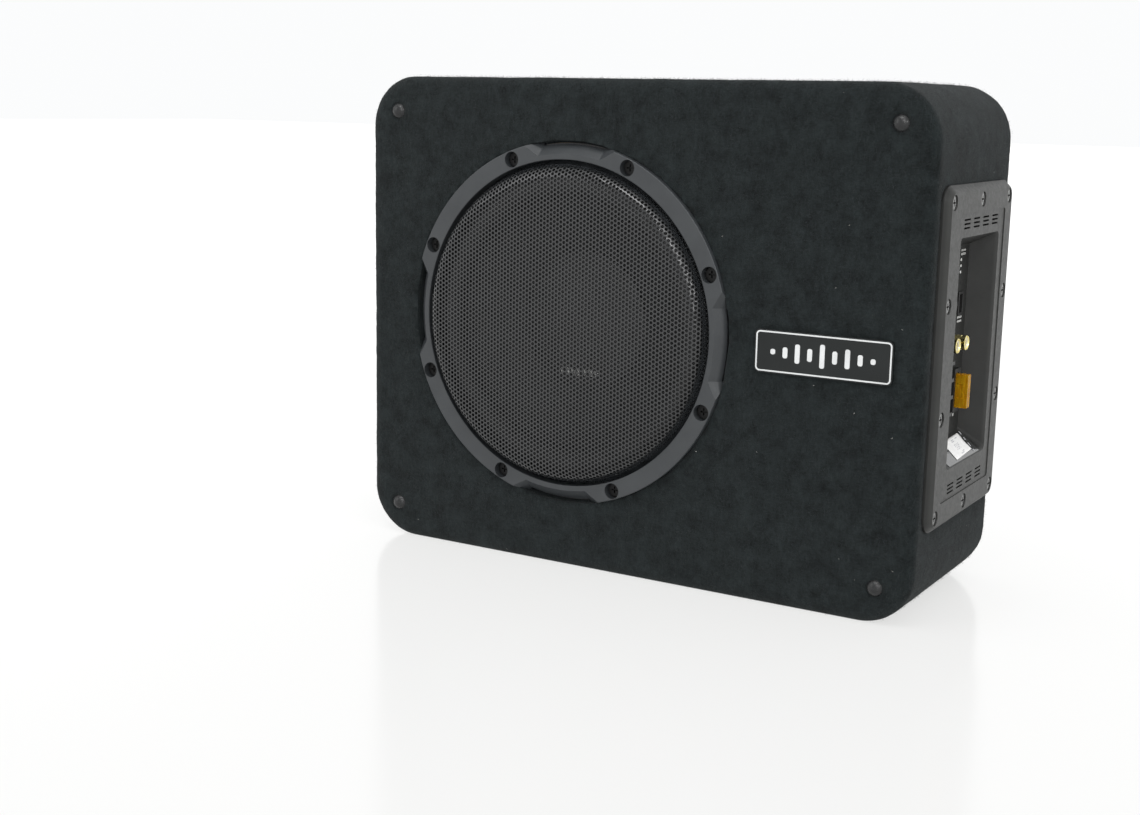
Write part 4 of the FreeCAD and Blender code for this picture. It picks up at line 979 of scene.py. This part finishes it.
def make_cap_marks():
    """A row of plain pale bars printed on the dust cap."""
    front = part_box("dust_cap")[0].y
    ball = 84.3 * MM
    row_z = AXIS.z - 30.7 * MM
    pitch = 4.0 * MM
    half_width = 1.1 * MM
    gap, print_thick = 0.05 * MM, 0.10 * MM
    heights = (3.0, 4.4, 3.6, 5.0, 3.6, 4.4, 3.0)
    spots = []
    for index, height in enumerate(heights):
        x = AXIS.x + (index - 3) * pitch
        corners = []
        for side_x, side_z in SQUARE:
            px = x + side_x * half_width
            pz = row_z + side_z * height / 2 * MM
            distance = math.hypot(px - AXIS.x, pz - AXIS.z)
            py = front + ball - math.sqrt(ball ** 2 - distance ** 2)
            corners.append(Vector((px, py - gap, pz)))
        spots.append(corners)
    print_bars("cap_marks", spots, Vector((0, -print_thick, 0)), PRINT, CONE)


# ---- connectors --------------------------------------------------------------------------
def make_jacks():
    """Turned gold shells with a rolled lip, a groove and a flanged foot."""
    low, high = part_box("rca_shells")
    radius = 4.15 * MM
    bore = 3.45 * MM
    groove = radius - 0.35 * MM
    flange = 5.6 * MM
    tip = high.x
    foot = TRAY_FACE
    tail = foot - 3.4 * MM
    line = [(bore, tip - 0.3 * MM), (bore + 0.25 * MM, tip), (radius - 0.3 * MM, tip),
            (radius, tip - 0.3 * MM), (radius, tip - 2.0 * MM), (groove, tip - 2.2 * MM),
            (groove, tip - 2.9 * MM), (radius, tip - 3.1 * MM), (radius, foot + 1.2 * MM),
            (5.4 * MM, foot + MM), (flange, foot + 0.8 * MM), (flange, foot), (radius, foot),
            (radius, tail), (bore, tail)]
    points = []
    faces = []
    for y in (low.y + flange, high.y - flange):
        centre = Vector((0, y, (low.z + high.z) / 2))
        join(points, faces, lathe(line, centre, (1, 0, 0), 48))
    shells = piece("jack_shells", points, faces, GOLD)
    shells.data.set_sharp_from_angle(angle=math.radians(40))
    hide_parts("rca_shells")


def make_fuse():
    """The fuse's bent metal link and the heads of its two blades, inside the clear case."""
    low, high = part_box("fuse_body")
    centre_y = (low.y + high.y) / 2
    end = 4.2 * MM
    bend = 1.8 * MM
    path = []
    for step in range(25):
        share = step / 24
        z = low.z + end + (high.z - low.z - 2 * end) * share
        x = high.x - 4.6 * MM + bend * math.sin(share * 2 * math.pi)
        path.append(Vector((x, centre_y, z)))
    tin = FINISHES["tin_plate"]
    points, faces = tube(path, 0.45 * MM)
    piece("fuse_link", points, faces, tin)
    for name, z0, z1 in (("fuse_blade_head_low", low.z + 1.4 * MM, low.z + 5.2 * MM),
                         ("fuse_blade_head_high", high.z - 5.2 * MM, high.z - 1.4 * MM)):
        rounded_box(name, (low.x + MM, centre_y - 0.4 * MM, z0),
                    (high.x - 2.2 * MM, centre_y + 0.4 * MM, z1), 0.15 * MM, tin)


# ---- prints and stickers -----------------------------------------------------------------
def wall_point(across, along, lift):
    """A point on the tray's lower slanted wall: across in y, along towards the mouth."""
    low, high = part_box("rating_label")
    start = Vector((low.x, 0, high.z))
    end = Vector((high.x, 0, low.z))
    direction = (end - start).normalized()
    normal = Vector((-direction.z, 0, direction.x))
    centre = (start + end) / 2
    return centre + direction * along + Vector((0, across, 0)) + normal * lift


def make_prints():
    """Plain white ticks and dots printed on the tray floor."""
    spots = []

    def floor_bar(y, z, width, height):
        spots.append([Vector((TRAY_FACE, y + a * width / 2, z + b * height / 2))
                      for a, b in SQUARE])

    scale_radius = 7.4 * MM
    for knob in ("gain_knob", "crossover_knob"):
        spot = middle(knob)
        for step in range(11):
            turn = math.radians(-140 + 28 * step)
            floor_bar(spot.y + scale_radius * math.sin(turn),
                      spot.z + scale_radius * math.cos(turn), 0.7 * MM, 0.7 * MM)
    remote = middle("remote_level_socket")
    for step in range(4):
        across = remote.y + (2 * step - 2.4) * MM
        for above, height in ((-7.9, 1.2), (-10.2, 1.0), (27.8, 1.2), (29.9, 1.0)):
            floor_bar(across, remote.z + above * MM, 1.1 * MM, height * MM)
    for above in (17.8, 21.3, 24.7):
        floor_bar(remote.y - 2.6 * MM, remote.z + above * MM, 1.8 * MM, 1.4 * MM)
    jacks = middle("rca_shells")
    floor_bar(jacks.y + 8 * MM, jacks.z + 6 * MM, 2.0 * MM, 1.4 * MM)
    fuse = middle("fuse_holder")
    floor_bar(fuse.y + 4 * MM, fuse.z - 15 * MM, 1.6 * MM, 1.6 * MM)
    print_bars("tray_marks", spots, Vector((0.08 * MM, 0, 0)), PRINT)


# the sticker's corners in millimetres from the middle of the label under it: (towards the
# tray's mouth, towards the back)
STICKER_CORNERS = ((-8.1, 21.1), (4.4, 16.7), (5.7, -10.8), (-7.0, -7.8))


def sticker_point(share_out, share_across, lift):
    """A point on the sticker, by its shares of the way to the mouth and to the front."""
    far_in, far_out, near_out, near_in = (Vector(corner) for corner in STICKER_CORNERS)
    far = far_in.lerp(far_out, share_out)
    near = near_in.lerp(near_out, share_out)
    spot = far.lerp(near, share_across)
    return wall_point(spot.y * MM, spot.x * MM, lift)


def wall_bar(out_start, out_end, across_start, across_end, lift):
    """A printed bar's corners, by shares of the sticker's length and width."""
    return [sticker_point(out, across, lift)
            for out, across in ((out_start, across_start), (out_end, across_start),
                                (out_end, across_end), (out_start, across_end))]


def make_sticker():
    """The white sticker with one corner that has begun to peel, and its faint grey marks."""
    rows, columns = 10, 20
    points = []
    for row in range(rows + 1):
        for column in range(columns + 1):
            share_out, share_across = row / rows, column / columns
            peel = max(0.0, share_out - share_across - 0.55) * 1.6 * MM
            points.append(sticker_point(share_out, share_across, 0.32 * MM + peel))
    faces = []
    for row in range(rows):
        for column in range(columns):
            first = row * (columns + 1) + column
            faces.append((first, first + columns + 1, first + columns + 2, first + 1))
    sticker = piece("worn_sticker", points, faces, FINISHES["sticker_white"])
    sheet = sticker.modifiers.new("paper", "SOLIDIFY")
    sheet.thickness = 0.12 * MM
    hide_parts("white_sticker")
    # each bar's share of the way to the mouth, and its start and end shares across
    bars = [(0.13, 0.20, 0.34), (0.13, 0.44, 0.58), (0.21, 0.46, 0.60), (0.80, 0.30, 0.42),
            (0.87, 0.36, 0.56)]
    for column in range(6):
        for row in range(4):
            if (column * 3 + row * 2) % 5 < 3:
                start = 0.34 + 0.045 * column
                bars.append((0.38 + 0.08 * row, start, start + 0.04))
    lift = sticker_point(0, 0, 0.05 * MM) - sticker_point(0, 0, 0)
    print_bars("sticker_marks", [wall_bar(out, out + 0.05, start, end, 0.42 * MM)
                                 for out, start, end in bars], lift, PRINT_GREY)
    dashes = ((-0.02, 0.16), (0.34, 0.50), (0.66, 0.88), (1.04, 1.14))
    print_bars("label_dashes", [wall_bar(start, end, -0.15, -0.11, 0.3 * MM)
                                for start, end in dashes], lift, PRINT_GREY)


dress_cad_nodes()
make_camera()
make_stage()
carpet = make_carpet()
make_fuzz(carpet)
make_grille()
make_rebate_lining()
make_surround()
make_spider()
make_tinsel()
make_cap_marks()
make_jacks()
make_fuse()
make_prints()
make_sticker()

bpy.context.view_layer.update()
